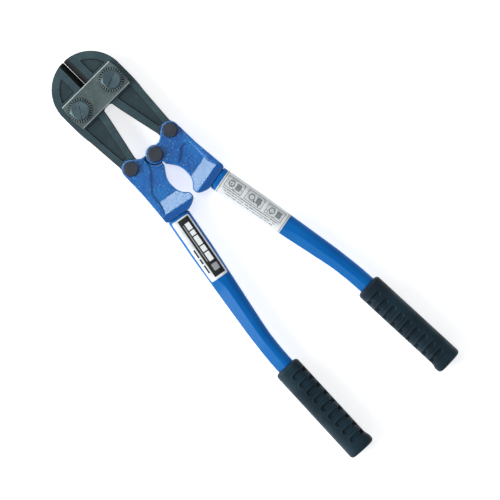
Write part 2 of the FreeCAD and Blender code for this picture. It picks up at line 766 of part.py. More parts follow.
def grip(label, side):
    """A moulded rubber sleeve with a flared end and finger slots on the facing side."""
    body = new_body(label)
    end = f"({GRIP_START} + grip_length)"
    neck = f"({end} - flare_length)"
    flare_start = f"({end} - 5)"
    lip = "grip_end_radius"

    def sleeve_section(sketch, distance):
        flared = number(distance) > number(neck) + 1
        ends = number(distance) > number(end) - 1 or number(distance) < number(GRIP_START) + 1
        width = "grip_width + grip_flare" if flared else "grip_width"
        height, corner = "overall_height", "grip_corner"
        shift = f"{side} * -(grip_flare / 2)" if flared else "0"
        if ends:
            width, height = f"{width} - 2 * grip_end_inset", f"{height} - 2 * grip_end_inset"
            corner = "grip_corner - 0.75 * grip_end_inset"
        rounded_section(sketch, width, height, corner, shift)

    loft(body, label + "_crown", side, [GRIP_START, f"({GRIP_START} + {lip})"], sleeve_section)
    loft(body, label + "_run", side, [f"({GRIP_START} + {lip})", neck], sleeve_section)
    loft(body, label + "_flare", side, [neck, flare_start], sleeve_section)
    loft(body, label + "_last", side, [flare_start, f"({end} - {lip})"], sleeve_section)
    loft(body, label + "_tip", side, [f"({end} - {lip})", end], sleeve_section)

    # bore for the tube's end
    loft(body, label + "_bore", side, [GRIP_START, f"({TUBE_RUN} + 0.5)"], outer_section("fit_gap"), True)

    # finger slots: one slot, then a row of them down the grip
    slot = new_sketch(body, label + "_slot", lift=f"{HALF_HEIGHT} - finger_slot_depth")
    slot_x, slot_y, _ = station(f"({GRIP_START} + first_slot_drop)")
    slot.AttachmentOffset = FreeCAD.Placement(
        FreeCAD.Vector(), FreeCAD.Rotation(FreeCAD.Vector(0, 0, 1), side * number("grip_tilt"))
    )
    slot.setExpression("AttachmentOffset.Base.x", bound(f"{side} * ({slot_x})"))
    slot.setExpression("AttachmentOffset.Base.y", bound(slot_y))
    slot.setExpression("AttachmentOffset.Rotation.Angle", bound(f"{side} * grip_tilt"))
    half = "finger_slot_width / 2"
    slot_end = "(finger_slot_length - grip_width / 2)"
    draw_outline(slot, mirrored_side(side, [
        ("-grip_width", f"-{half}"),
        (f"{slot_end} - {half}", f"-{half}"),
        ("via", slot_end, "0"),
        (f"{slot_end} - {half}", half),
        ("-grip_width", half),
    ]))
    upper_slot = cut_depth(body, slot, "finger_slot_depth + 1", upward=True)
    doc.recompute()
    row = body.newObject("PartDesign::LinearPattern", label + "_slot_row")
    row.Originals = [upper_slot]
    row.Direction = (slot, ["V_Axis"])
    row.Reversed = True
    row.setExpression("Length", bound("finger_slot_pitch * (finger_slot_count - 1)"))
    row.setExpression("Occurrences", bound("finger_slot_count"))
    body.Tip = row
    return body


def label_skin(label, side, drop, length, flat_width=None):
    """A thin printed label on the tube: a flat patch on top, or a wrap right round it."""
    body = new_body(label)
    reach = f"({drop} + {length})"
    run_lofts(body, label + "_skin", side, drop, reach, outer_section("label_thick + label_lift"))
    run_lofts(body, label + "_inside", side, drop, reach, outer_section("label_lift"), subtract=True)
    if flat_width:
        frame = new_sketch(body, label + "_patch")
        patch_x, patch_y, _ = station(f"({drop} + {length} / 2)")
        frame.AttachmentOffset = FreeCAD.Placement(
            FreeCAD.Vector(), FreeCAD.Rotation(FreeCAD.Vector(0, 0, 1), side * number("handle_tilt"))
        )
        frame.setExpression("AttachmentOffset.Base.x", bound(f"{side} * ({patch_x})"))
        frame.setExpression("AttachmentOffset.Base.y", bound(patch_y))
        frame.setExpression("AttachmentOffset.Rotation.Angle", bound(f"{side} * handle_tilt"))
        far = f"(2 * {length})"
        draw_outline(frame, [(f"-{far}", f"-{far}"), (far, f"-{far}"), (far, far), (f"-{far}", far)])
        rounded_section(frame, flat_width, length, "left_label_corner")
        cut_through(body, frame)
        under = new_sketch(body, label + "_under")
        draw_outline(under, [(f"-{far}", f"-4 * {far}"), (far, f"-4 * {far}"), (far, far), (f"-{far}", far)])
        cut_depth(body, under, "overall_height")
    return body


# ---------------------------------------------------------------- the assembly

HUB_HEAD = f"({HALF_CASTING} + face_gap)"
STRAP_HEAD = f"({STRAP_OUTER} + ring_thick)"

parts = [
    bolt("hub_bolt", "0", "0", "hub_bolt_radius", "hub_hex_width", HUB_HEAD, "hub_hex_width / 2 - 0.2"),
    nut("hub_nut", "0", "0", "hub_bolt_radius", "hub_hex_width", HUB_HEAD, "hub_hex_width / 2 - 0.2"),
    strap("upper_strap", True),
    strap("lower_strap", False),
]
for name, side in (("left", -1), ("right", 1)):
    strap_side = f"{side} * strap_pin_side"
    jaw_side = f"{side} * jaw_pin_side"
    parts += [
        jaw(f"{name}_jaw", side, loose=side > 0),
        casting(f"{name}_casting", side, half=side),
        tube(f"{name}_tube", side),
        grip(f"{name}_grip", side),
        bolt(f"{name}_jaw_bolt", jaw_side, "jaw_pin_rise", "jaw_bolt_radius", "jaw_hex_width",
             HALF_CASTING, "jaw_hex_width / 2"),
        nut(f"{name}_jaw_nut", jaw_side, "jaw_pin_rise", "jaw_bolt_radius", "jaw_hex_width",
            HALF_CASTING, "jaw_hex_width / 2"),
        lock_ring(f"{name}_lock_ring", strap_side),
        bolt(f"{name}_strap_bolt", strap_side, "strap_pin_rise", "strap_bolt_radius", "strap_hex_width",
             STRAP_HEAD, "strap_face_radius", f"{name}_slot_angle"),
        nut(f"{name}_strap_nut", strap_side, "strap_pin_rise", "strap_bolt_radius", "strap_hex_width",
            STRAP_OUTER, "strap_face_radius"),
    ]
parts += [
    label_skin("left_label", -1, "left_label_drop", "left_label_length", "left_label_width"),
    label_skin("right_label", 1, "right_label_drop", "right_label_length"),
]
doc.recompute()

failed = [item.Name for item in doc.Objects if "Invalid" in item.State or "Error" in item.State]
for body in parts:
    if body.Shape.isNull() or not body.Shape.isValid() or len(body.Shape.Solids) != 1:
        failed.append(body.Label)
if failed:
    raise RuntimeError("failed objects: " + ", ".join(failed))

os.makedirs("parts", exist_ok=True)
for body in parts:
    body.Shape.exportStep(f"parts/{body.Label}.step")
    print(f"{body.Label:18s} {body.Shape.Volume:10.1f} mm3")
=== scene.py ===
"""Bolt cutters: meshes, finishes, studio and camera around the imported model.

Sizes are in millimetres where a name or a docstring says so, and MM turns them into metres.
"""

import json
import logging
import math
from collections.abc import Callable
from dataclasses import dataclass
from enum import Enum

import bmesh
import bpy
import numpy as np
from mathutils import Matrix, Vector, noise

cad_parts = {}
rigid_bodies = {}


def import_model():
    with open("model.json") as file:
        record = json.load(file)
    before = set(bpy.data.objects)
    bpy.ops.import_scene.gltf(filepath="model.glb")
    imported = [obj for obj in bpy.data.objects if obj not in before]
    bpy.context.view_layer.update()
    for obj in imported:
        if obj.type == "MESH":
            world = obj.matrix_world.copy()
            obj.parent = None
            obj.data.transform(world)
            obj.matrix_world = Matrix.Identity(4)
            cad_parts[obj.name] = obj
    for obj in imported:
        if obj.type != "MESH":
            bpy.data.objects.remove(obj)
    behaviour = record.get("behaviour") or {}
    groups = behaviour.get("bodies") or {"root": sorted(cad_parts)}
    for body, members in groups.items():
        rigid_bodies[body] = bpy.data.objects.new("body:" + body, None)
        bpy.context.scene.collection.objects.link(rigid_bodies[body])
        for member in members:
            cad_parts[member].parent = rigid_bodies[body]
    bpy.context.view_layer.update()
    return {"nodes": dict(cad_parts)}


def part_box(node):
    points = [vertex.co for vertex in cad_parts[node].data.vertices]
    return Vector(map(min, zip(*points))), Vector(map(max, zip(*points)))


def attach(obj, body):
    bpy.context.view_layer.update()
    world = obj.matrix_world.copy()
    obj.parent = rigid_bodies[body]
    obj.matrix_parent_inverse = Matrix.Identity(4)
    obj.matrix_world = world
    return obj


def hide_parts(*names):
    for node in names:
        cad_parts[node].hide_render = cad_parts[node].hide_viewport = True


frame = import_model()

MM = 0.001
PRINT_MAP = "print"
log = logging.getLogger("bolt_cutters")

Socket = bpy.types.NodeSocket
Colour = tuple[float, float, float, float]


class Side(Enum):
    """The two halves of the tool, with the sign of their X."""

    LEFT = -1
    RIGHT = 1

    @property
    def word(self) -> str:
        """The word that node and body names start with."""
        return self.name.lower()


def ink(red: int, green: int, blue: int) -> Colour:
    """Turn a display colour of 0 to 255 into the linear colour that shaders use.

    Args:
        red: Red, 0 to 255.
        green: Green, 0 to 255.
        blue: Blue, 0 to 255.

    Returns:
        Linear red, green and blue, and an alpha of 1.
    """
    def linear(level: int) -> float:
        """One channel."""
        share = level / 255
        return share / 12.92 if share <= 0.04045 else ((share + 0.055) / 1.055) ** 2.4

    return linear(red), linear(green), linear(blue), 1.0


# ------------------------------------------------------------------ node trees


class Graph:
    """Short calls for making and joining the nodes of one tree."""

    def __init__(self, tree: bpy.types.NodeTree) -> None:
        """Keep the tree.

        Args:
            tree: The node tree that gets the nodes.
        """
        self.tree = tree

    def add(self, kind: str, inputs: dict[str, object] | None = None, **settings: object) -> bpy.types.Node:
        """Make a node.

        Args:
            kind: The node's type name.
            inputs: Values or sockets for its inputs, by name.
            **settings: The node's own properties.

        Returns:
            The node.
        """
        node = self.tree.nodes.new(kind)
        for key, value in settings.items():
            setattr(node, key, value)
        for name, value in (inputs or {}).items():
            self.feed(node.inputs[name], value)
        return node

    def feed(self, socket: Socket, value: object) -> None:
        """Give an input a constant or a link.

        Args:
            socket: The input.
            value: A socket to link from, or a constant.
        """
        if isinstance(value, bpy.types.NodeSocket):
            self.tree.links.new(value, socket)
        else:
            socket.default_value = value

    def math(self, operation: str, *values: object) -> Socket:
        """Work out one number from up to three.

        Args:
            operation: The node's operation.
            *values: Its inputs, as sockets or numbers.

        Returns:
            The result.
        """
        node = self.add("ShaderNodeMath", operation=operation)
        for place, value in enumerate(values):
            self.feed(node.inputs[place], value)
        return node.outputs[0]

    def ramp(
        self, value: object, low: object, high: object, start: object = 0.0, end: object = 1.0,
    ) -> Socket:
        """Map low..high smoothly onto start..end, and hold beyond them.

        Args:
            value: What is mapped.
            low: Where the rise starts.
            high: Where it ends.
            start: The result at low.
            end: The result at high.

        Returns:
            The mapped value.
        """
        node = self.add("ShaderNodeMapRange", interpolation_type="SMOOTHSTEP")
        for place, number in enumerate((value, low, high, start, end)):
            self.feed(node.inputs[place], number)
        return node.outputs[0]

    def blend(self, share: object, first: object, second: object) -> Socket:
        """Mix two colours; share 0 gives the first and 1 the second.

        Args:
            share: How much of the second.
            first: A colour.
            second: Another.

        Returns:
            The mixed colour.
        """
        node = self.add("ShaderNodeMix", data_type="RGBA")
        self.feed(node.inputs[0], share)
        self.feed(node.inputs[6], first)
        self.feed(node.inputs[7], second)
        return node.outputs[2]

    def place(self) -> Socket:
        """Object coordinates, in metres in the tool's frame."""
        return self.add("ShaderNodeTexCoord").outputs["Object"]

    def facing(self) -> tuple[Socket, Socket, Socket]:
        """The three parts of the surface's own normal in the tool's frame."""
        return self.split(self.add("ShaderNodeTexCoord").outputs["Normal"])

    def split(self, vector: Socket) -> tuple[Socket, Socket, Socket]:
        """The three parts of a vector."""
        node = self.add("ShaderNodeSeparateXYZ", {"Vector": vector})
        return node.outputs[0], node.outputs[1], node.outputs[2]

    def noise(self, vector: Socket, scale: object, detail: float = 3.0) -> Socket:
        """Plain fractal noise, about 0 to 1."""
        node = self.add("ShaderNodeTexNoise", {"Vector": vector, "Scale": scale, "Detail": detail})
        return node.outputs[0]

    def group(self, tree: bpy.types.NodeTree, inputs: dict[str, object]) -> bpy.types.Node:
        """Place a node group and give it its values.

        Args:
            tree: The group's tree.
            inputs: Its values or sockets, by name.

        Returns:
            The group node.
        """
        node = self.add("ShaderNodeGroup")
        node.node_tree = tree
        for name, value in inputs.items():
            self.feed(node.inputs[name], value)
        return node


class Effects:
    """Shader node groups that several finishes share. Each is built once, when first asked for."""

    _built: dict[str, bpy.types.NodeTree] = {}

    @classmethod
    def _tree(
        cls, name: str, numbers: dict[str, float], outputs: tuple[str, ...], build: Callable[..., None],
    ) -> bpy.types.NodeTree:
        """Make a group with named inputs and outputs.

        Args:
            name: The group's name.
            numbers: Its inputs and their defaults.
            outputs: Its outputs, all numbers.
            build: Fills the tree, given its graph, the input node and the output node.

        Returns:
            The group's tree.
        """
        if name not in cls._built:
            tree = bpy.data.node_groups.new(name, "ShaderNodeTree")
            for label, value in numbers.items():
                socket = tree.interface.new_socket(label, in_out="INPUT", socket_type="NodeSocketFloat")
                socket.default_value = value
            for label in outputs:
                tree.interface.new_socket(label, in_out="OUTPUT", socket_type="NodeSocketFloat")
            graph = Graph(tree)
            build(graph, graph.add("NodeGroupInput"), graph.add("NodeGroupOutput"))
            cls._built[name] = tree
        return cls._built[name]

    @classmethod
    def edge_wear(cls) -> bpy.types.NodeTree:
        """Mask of edges where a rounded normal leaves the true one, in patches: rubbed wear and dust, and on
        the cast paint and the rubber also a painted highlight.

        Returns:
            The group's tree.
        """
        def build(graph: Graph, given: bpy.types.Node, result: bpy.types.Node) -> None:
            """Fill the group.

            Args:
                graph: The tree's graph.
                given: Its input node.
                result: Its output node.
            """
            soft = graph.add("ShaderNodeBevel", {"Radius": given.outputs["Radius"]}, samples=4)
            true = graph.add("ShaderNodeNewGeometry").outputs["Normal"]
            agree = graph.add("ShaderNodeVectorMath", operation="DOT_PRODUCT")
            graph.feed(agree.inputs[0], soft.outputs[0])
            graph.feed(agree.inputs[1], true)
            edge = graph.ramp(graph.math("SUBTRACT", 1.0, agree.outputs["Value"]), 0.03, 0.22)
            patches = graph.noise(graph.place(), given.outputs["Patch Scale"], 4.0)
            rubbed = graph.ramp(patches, 0.38, 0.62, 0.2, 1.0)
            graph.feed(result.inputs["Mask"], graph.math("MULTIPLY", edge, rubbed))

        return cls._tree("edge wear", {"Radius": 0.4 * MM, "Patch Scale": 160.0}, ("Mask",), build)

    @classmethod
    def crevice(cls) -> bpy.types.NodeTree:
        """Mask of corners and grooves, for painted shade there: the darkening that ambient occlusion gives.

        Returns:
            The group's tree.
        """
        def build(graph: Graph, given: bpy.types.Node, result: bpy.types.Node) -> None:
            """Fill the group.

            Args:
                graph: The tree's graph.
                given: Its input node.
                result: Its output node.
            """
            reach = given.outputs["Distance"]
            # painted shade: occluded corners and grooves get the darker colour
            open_sky = graph.add("ShaderNodeAmbientOcclusion", {"Distance": reach}, samples=8)
            shut = graph.math("SUBTRACT", 1.0, open_sky.outputs["AO"])
            graph.feed(result.inputs["Mask"], graph.ramp(shut, 0.1, 0.5))

        return cls._tree("crevice", {"Distance": 2.0 * MM}, ("Mask",), build)

    @classmethod
    def slope(cls) -> bpy.types.NodeTree:
        """Mask of chamfers, drafts and walls: faces that don't lie flat on the tool.

        Returns:
            The group's tree.
        """
        def build(graph: Graph, given: bpy.types.Node, result: bpy.types.Node) -> None:
            """Fill the group.

            Args:
                graph: The tree's graph.
                given: Its input node.
                result: Its output node.
            """
            level = graph.math("ABSOLUTE", graph.facing()[2])
            upper = graph.math("ADD", given.outputs["Level"], 0.06)
            graph.feed(result.inputs["Mask"], graph.ramp(level, given.outputs["Level"], upper, 1.0, 0.0))

        return cls._tree("slope", {"Level": 0.85}, ("Mask",), build)

    @classmethod
    def cast_grain(cls) -> bpy.types.NodeTree:
        """Pebbled sand-cast surface, as a height and a large soft variation.

        Returns:
            The group's tree.
        """
        def build(graph: Graph, given: bpy.types.Node, result: bpy.types.Node) -> None:
            """Fill the group.

            Args:
                graph: The tree's graph.
                given: Its input node.
                result: Its output node.
            """
            place = graph.place()
            scale = given.outputs["Grain Scale"]
            fine = graph.noise(place, scale, 2.0)
            pebble = graph.add("ShaderNodeTexVoronoi", {"Vector": place, "Scale": scale})
            lumps = graph.math("MULTIPLY", pebble.outputs["Distance"], 0.5)
            graph.feed(result.inputs["Height"], graph.math("ADD", fine, lumps))
            broad = graph.noise(place, given.outputs["Mottle Scale"], 4.0)
            graph.feed(result.inputs["Mottle"], graph.ramp(broad, 0.35, 0.65))

        numbers = {"Grain Scale": 900.0, "Mottle Scale": 90.0}
        return cls._tree("cast grain", numbers, ("Height", "Mottle"), build)

    @classmethod
    def brushed(cls) -> bpy.types.NodeTree:
        """Fine lines left by grinding, drawn out along X or Y by the two scales.

        Returns:
            The group's tree.
        """
        def build(graph: Graph, given: bpy.types.Node, result: bpy.types.Node) -> None:
            """Fill the group.

            Args:
                graph: The tree's graph.
                given: Its input node.
                result: Its output node.
            """
            x, y, z = graph.split(graph.place())
            drawn = graph.add("ShaderNodeCombineXYZ")
            graph.feed(drawn.inputs[0], graph.math("MULTIPLY", x, given.outputs["X Scale"]))
            graph.feed(drawn.inputs[1], graph.math("MULTIPLY", y, given.outputs["Y Scale"]))
            graph.feed(drawn.inputs[2], graph.math("MULTIPLY", z, 300.0))
            lines = graph.noise(drawn.outputs[0], 1.0, 6.0)
            graph.feed(result.inputs["Lines"], graph.ramp(lines, 0.3, 0.7))
            scratch = graph.noise(drawn.outputs[0], 0.35, 8.0)
            graph.feed(result.inputs["Scratches"], graph.ramp(scratch, 0.66, 0.69))

        return cls._tree("brushed", {"X Scale": 200.0, "Y Scale": 3000.0}, ("Lines", "Scratches"), build)

    @classmethod
    def printed_box(cls) -> bpy.types.NodeTree:
        """Mask of a printed rectangle with soft corners, in millimetres across and along a label.

        Returns:
            The group's tree.
        """
        def build(graph: Graph, given: bpy.types.Node, result: bpy.types.Node) -> None:
            """Fill the group.

            Args:
                graph: The tree's graph.
                given: Its input node.
                result: Its output node.
            """
            squares = []
            for name in ("Across", "Along"):
                offset = graph.math("SUBTRACT", given.outputs[name], given.outputs[f"{name} Centre"])
                inside = graph.math("SUBTRACT", given.outputs[f"{name} Half"], given.outputs["Corner"])
                reach = graph.math("SUBTRACT", graph.math("ABSOLUTE", offset), inside)
                beyond = graph.math("MAXIMUM", reach, 0.0)
                squares.append(graph.math("MULTIPLY", beyond, beyond))
            distance = graph.math("SQRT", graph.math("ADD", *squares))
            past = graph.math("SUBTRACT", distance, given.outputs["Corner"])
            graph.feed(result.inputs["Mask"], graph.ramp(past, -0.06, 0.06, 1.0, 0.0))

        numbers = {
            "Across": 0.0, "Along": 0.0, "Across Centre": 0.0, "Along Centre": 0.0,
            "Across Half": 1.0, "Along Half": 1.0, "Corner": 0.3,
        }
        return cls._tree("printed box", numbers, ("Mask",), build)


# ------------------------------------------------------------------ finishes


def new_material(name: str) -> tuple[bpy.types.Material, Graph, bpy.types.Node]:
    """Start a material.

    Args:
        name: Its name.

    Returns:
        The material, its graph and its Principled node.
    """
    material = bpy.data.materials.new(name)
    material.use_nodes = True
    graph = Graph(material.node_tree)
    principled = next(node for node in graph.tree.nodes if node.type == "BSDF_PRINCIPLED")
    return material, graph, principled


def set_relief(graph: Graph, principled: bpy.types.Node, height: Socket, depth_mm: float) -> None:
    """Feed a height into the material's normal.

    Args:
        graph: The material's graph.
        principled: Its Principled node.
        height: The height, about 0 to 1.
        depth_mm: What a height of 1 stands for.
    """
    bump = graph.add("ShaderNodeBump", {"Height": height, "Distance": depth_mm * MM, "Strength": 1.0})
    graph.feed(principled.inputs["Normal"], bump.outputs[0])


@dataclass(frozen=True)
class SteelFinish:
    """Forged, ground or blackened steel with rubbed edges and painted shade in its corners."""

    name: str
    base: Colour
    shade: Colour
    edge: Colour
    crevice: Colour
    metallic: float
    roughness: float
    x_scale: float
    y_scale: float
    line_depth_mm: float
    edge_radius_mm: float = 0.5
    crevice_mm: float = 1.6
    scratched: float = 0.3

    def material(self) -> bpy.types.Material:
        """Build the material.

        Returns:
            The material.
        """
        material, graph, principled = new_material(self.name)
        brushed = graph.group(Effects.brushed(), {"X Scale": self.x_scale, "Y Scale": self.y_scale})
        grain = graph.group(Effects.cast_grain(), {"Grain Scale": 1400.0, "Mottle Scale": 70.0})
        wear = graph.group(Effects.edge_wear(), {"Radius": self.edge_radius_mm * MM})
        corner_shade = graph.group(Effects.crevice(), {"Distance": self.crevice_mm * MM})
        half_mottle = graph.math("MULTIPLY", grain.outputs["Mottle"], 0.5)
        tone = graph.math("MULTIPLY_ADD", brushed.outputs["Lines"], 0.5, half_mottle)
        colour = self.local_colour(graph, graph.blend(tone, self.shade, self.base))
        # painted shade: corners and grooves take the darker colour
        colour = graph.blend(corner_shade.outputs["Mask"], colour, self.crevice)
        scratches = graph.math("MULTIPLY", brushed.outputs["Scratches"], self.scratched)
        colour = graph.blend(graph.math("MAXIMUM", wear.outputs["Mask"], scratches), colour, self.edge)
        graph.feed(principled.inputs["Base Color"], colour)
        rough = graph.ramp(tone, 0.0, 1.0, self.roughness + 0.08, self.roughness - 0.06)
        graph.feed(principled.inputs["Roughness"], rough)
        principled.inputs["Metallic"].default_value = self.metallic
        half_grain = graph.math("MULTIPLY", grain.outputs["Height"], 0.5)
        height = graph.math("MULTIPLY_ADD", brushed.outputs["Lines"], 0.7, half_grain)
        set_relief(graph, principled, height, self.line_depth_mm)
        return material

    def local_colour(self, graph: Graph, colour: Socket) -> Socket:
        """Colour that depends on the place on the piece; plain steel has none."""
        return colour


@dataclass(frozen=True)
class ForgedBladeFinish(SteelFinish):
    """Forged blade steel: near-black cutting bevels painted as the shade in the V between them, darker sunk
    panels, and painted shade on drafts and chamfers.
    """

    # the cutting bevel colours are painted shade in the V between the bevels, the right bevel a little
    # lighter than the left
    bevel: Colour = ink(3, 8, 9)
    bevel_right: Colour = ink(4, 10, 13)
    panel: Colour = ink(22, 38, 44)
    # wall is painted shade on drafts, walls and chamfers
    wall: Colour = ink(2, 5, 7)
    mid_height_mm: float = 15.0
    face_mm: float = 5.5
    panel_depth_mm: float = 1.0
    bevel_half_mm: float = 5.6
    bevel_root_mm: float = 90.5

    def local_colour(self, graph: Graph, colour: Socket) -> Socket:
        """Darken the panels, and paint shade on the sloping faces and the bevel, by height from the blade's
        mid plane.

        Args:
            graph: The material's graph.
            colour: The steel's colour.

        Returns:
            The local colour.
        """
        x, y, z = graph.split(graph.place())
        height = graph.math("ABSOLUTE", graph.math("SUBTRACT", z, self.mid_height_mm * MM))
        floor_mm = self.face_mm - self.panel_depth_mm
        sunk = graph.ramp(height, (floor_mm + 0.3) * MM, (floor_mm + 0.7) * MM, 1.0, 0.0)
        colour = graph.blend(graph.math("MULTIPLY", sunk, 0.5), colour, self.panel)
        # painted shade: faces that slope away from flat take the near-black wall colour
        wall = graph.group(Effects.slope(), {"Level": 0.86})
        colour = graph.blend(graph.math("MULTIPLY", wall.outputs["Mask"], 0.9), colour, self.wall)
        edge_mm = self.bevel_half_mm
        near = graph.ramp(graph.math("ABSOLUTE", x), (edge_mm - 0.2) * MM, edge_mm * MM, 1.0, 0.0)
        ahead = graph.ramp(y, (self.bevel_root_mm - 0.4) * MM, self.bevel_root_mm * MM)
        # painted shade on the cutting bevels: darker on the left, lighter on the right
        ground = graph.blend(graph.ramp(x, -0.2 * MM, 0.2 * MM), self.bevel, self.bevel_right)
        return graph.blend(graph.math("MULTIPLY", near, ahead), colour, ground)


@dataclass(frozen=True)
class PlateFinish(SteelFinish):
    """Ground plate whose chamfered long edges get a painted highlight."""

    bright: Colour = ink(200, 210, 212)

    def local_colour(self, graph: Graph, colour: Socket) -> Socket:
        """Lighten the chamfers as a painted highlight.

        Args:
            graph: The material's graph.
            colour: The steel's colour.

        Returns:
            The local colour.
        """
        slope = graph.group(Effects.slope(), {"Level": 0.8})
        level = graph.math("ABSOLUTE", graph.facing()[2])
        # painted highlight: chamfer faces take the bright colour
        chamfer_highlight_mask = graph.math("MULTIPLY", slope.outputs["Mask"], graph.ramp(level, 0.4, 0.5))
        return graph.blend(chamfer_highlight_mask, colour, self.bright)


@dataclass(frozen=True)
class ToothedFinish(SteelFinish):
    """Steel painted black below a stated height: painted shade in the gaps between teeth."""

    black: Colour = ink(1, 2, 3)
    dark_below_mm: float = 26.0

    def local_colour(self, graph: Graph, colour: Socket) -> Socket:
        """Blacken everything under the tooth tops as painted shade."""
        height = graph.split(graph.place())[2]
        top, soft = self.dark_below_mm * MM, 0.05 * MM
        low = graph.ramp(height, top - soft, top + soft, 1.0, 0.0)
        # painted shade between the teeth
        return graph.blend(low, colour, self.black)


@dataclass(frozen=True)
class CastPaintFinish:
    """Sprayed gloss paint over a sand casting, with smoother machined facets painted paler as a painted
    reflection, painted glints and edge highlights, and painted shade on the end bevel and in corners.
    """

    name: str
    base: Colour
    shade: Colour
    # edge is a painted highlight: glints on the pebble tops and lines along the edges
    edge: Colour
    crevice: Colour
    # facet is a painted reflection on the machined facets
    facet: Colour
    # the next colour is painted shade on the end band that leans away from the light
    end_bevel: Colour
    roughness: float
    facet_roughness: float
    coat: float
    grain_mm: float
    wear: float = 0.6
    speckle: float = 0.4
    level_from: float = 0.90
    level_full: float = 0.95
    facet_lean: float = 0.035
    facet_lean_full: float = 0.065
    bevel_lean: float = -0.12
    bevel_lean_full: float = -0.18
    coat_roughness: float = 0.12

    def material(self) -> bpy.types.Material:
        """Build the material.

        Returns:
            The material.
        """
        material, graph, principled = new_material(self.name)
        grain = graph.group(Effects.cast_grain(), {"Grain Scale": 620.0, "Mottle Scale": 60.0})
        wear = graph.group(Effects.edge_wear(), {"Radius": 1.5 * MM, "Patch Scale": 120.0})
        corner_shade = graph.group(Effects.crevice(), {"Distance": 2.2 * MM})
        colour = graph.blend(grain.outputs["Mottle"], self.shade, self.base)
        # painted glints: the pebble tops take the pale edge colour
        speckle = graph.ramp(grain.outputs["Height"], 0.92, 1.06, 0.0, self.speckle)
        colour = graph.blend(speckle, colour, self.edge)
        _, lean, level = graph.facing()
        flat = graph.ramp(graph.math("ABSOLUTE", level), self.level_from, self.level_full)
        facet = graph.math("MULTIPLY", graph.ramp(lean, self.facet_lean, self.facet_lean_full), flat)
        # painted shade: flat faces that lean back towards the grips take the darker end colour
        fallen = graph.ramp(lean, self.bevel_lean_full, self.bevel_lean, 1.0, 0.0)
        end_shade_mask = graph.math("MULTIPLY", fallen, flat)
        colour = graph.blend(end_shade_mask, colour, self.end_bevel)
        # painted reflection: the facets that lean towards the head take the pale facet colour
        facet_reflection_grain = graph.ramp(grain.outputs["Height"], 0.4, 1.0, 0.93, 1.0)
        colour = graph.blend(graph.math("MULTIPLY", facet, facet_reflection_grain), colour, self.facet)
        # painted shade in corners and along the steps
        colour = graph.blend(corner_shade.outputs["Mask"], colour, self.crevice)
        # painted highlight along the rounded edges, in patches like wear
        colour = graph.blend(graph.math("MULTIPLY", wear.outputs["Mask"], self.wear), colour, self.edge)
        graph.feed(principled.inputs["Base Color"], colour)
        rough = graph.ramp(facet, 0.0, 1.0, self.roughness, self.facet_roughness)
        graph.feed(principled.inputs["Roughness"], rough)
        principled.inputs["Coat Weight"].default_value = self.coat
        principled.inputs["Coat Roughness"].default_value = self.coat_roughness
        rugged = graph.ramp(facet, 0.0, 1.0, 1.0, 0.15)
        set_relief(graph, principled, graph.math("MULTIPLY", grain.outputs["Height"], rugged), self.grain_mm)
        return material


@dataclass(frozen=True)
class TubePaintFinish:
    """Smooth gloss paint over drawn tube, with a painted highlight on the faces turned to the left, where
    the key light is, painted shade in its corners, draw lines and small chips.
    """

    name: str
    base: Colour
    shade: Colour
    # the next colour is a painted highlight on the faces turned towards the key light
    rolled: Colour
    chip: Colour
    crevice: Colour
    roughness: float
    coat: float
    coat_roughness: float = 0.08
    specular: float = 0.08
    rolled_lean: float = -0.34
    rolled_lean_full: float = -0.46
    ripple_mm: float = 0.008

    def material(self) -> bpy.types.Material:
        """Build the material.

        Returns:
            The material.
        """
        material, graph, principled = new_material(self.name)
        grain = graph.group(Effects.cast_grain(), {"Grain Scale": 500.0, "Mottle Scale": 25.0})
        corner_shade = graph.group(Effects.crevice(), {"Distance": 1.6 * MM})
        drawn = graph.group(Effects.brushed(), {"X Scale": 900.0, "Y Scale": 30.0})
        chips = graph.ramp(graph.noise(graph.place(), 420.0, 2.0), 0.765, 0.785)
        colour = graph.blend(grain.outputs["Mottle"], self.shade, self.base)
        # painted highlight: faces turned to the left, towards the key light, take the paler colour
        rolled = graph.ramp(graph.facing()[0], self.rolled_lean_full, self.rolled_lean, 1.0, 0.0)
        colour = graph.blend(rolled, colour, self.rolled)
        # painted shade in corners
        colour = graph.blend(corner_shade.outputs["Mask"], colour, self.crevice)
        colour = graph.blend(graph.math("MULTIPLY", chips, 0.6), colour, self.chip)
        graph.feed(principled.inputs["Base Color"], colour)
        rough = graph.ramp(drawn.outputs["Lines"], 0.0, 1.0, self.roughness + 0.04, self.roughness - 0.03)
        graph.feed(principled.inputs["Roughness"], rough)
        principled.inputs["Specular IOR Level"].default_value = self.specular
        principled.inputs["Coat Weight"].default_value = self.coat
        principled.inputs["Coat Roughness"].default_value = self.coat_roughness
        set_relief(graph, principled, grain.outputs["Height"], self.ripple_mm)
        return material


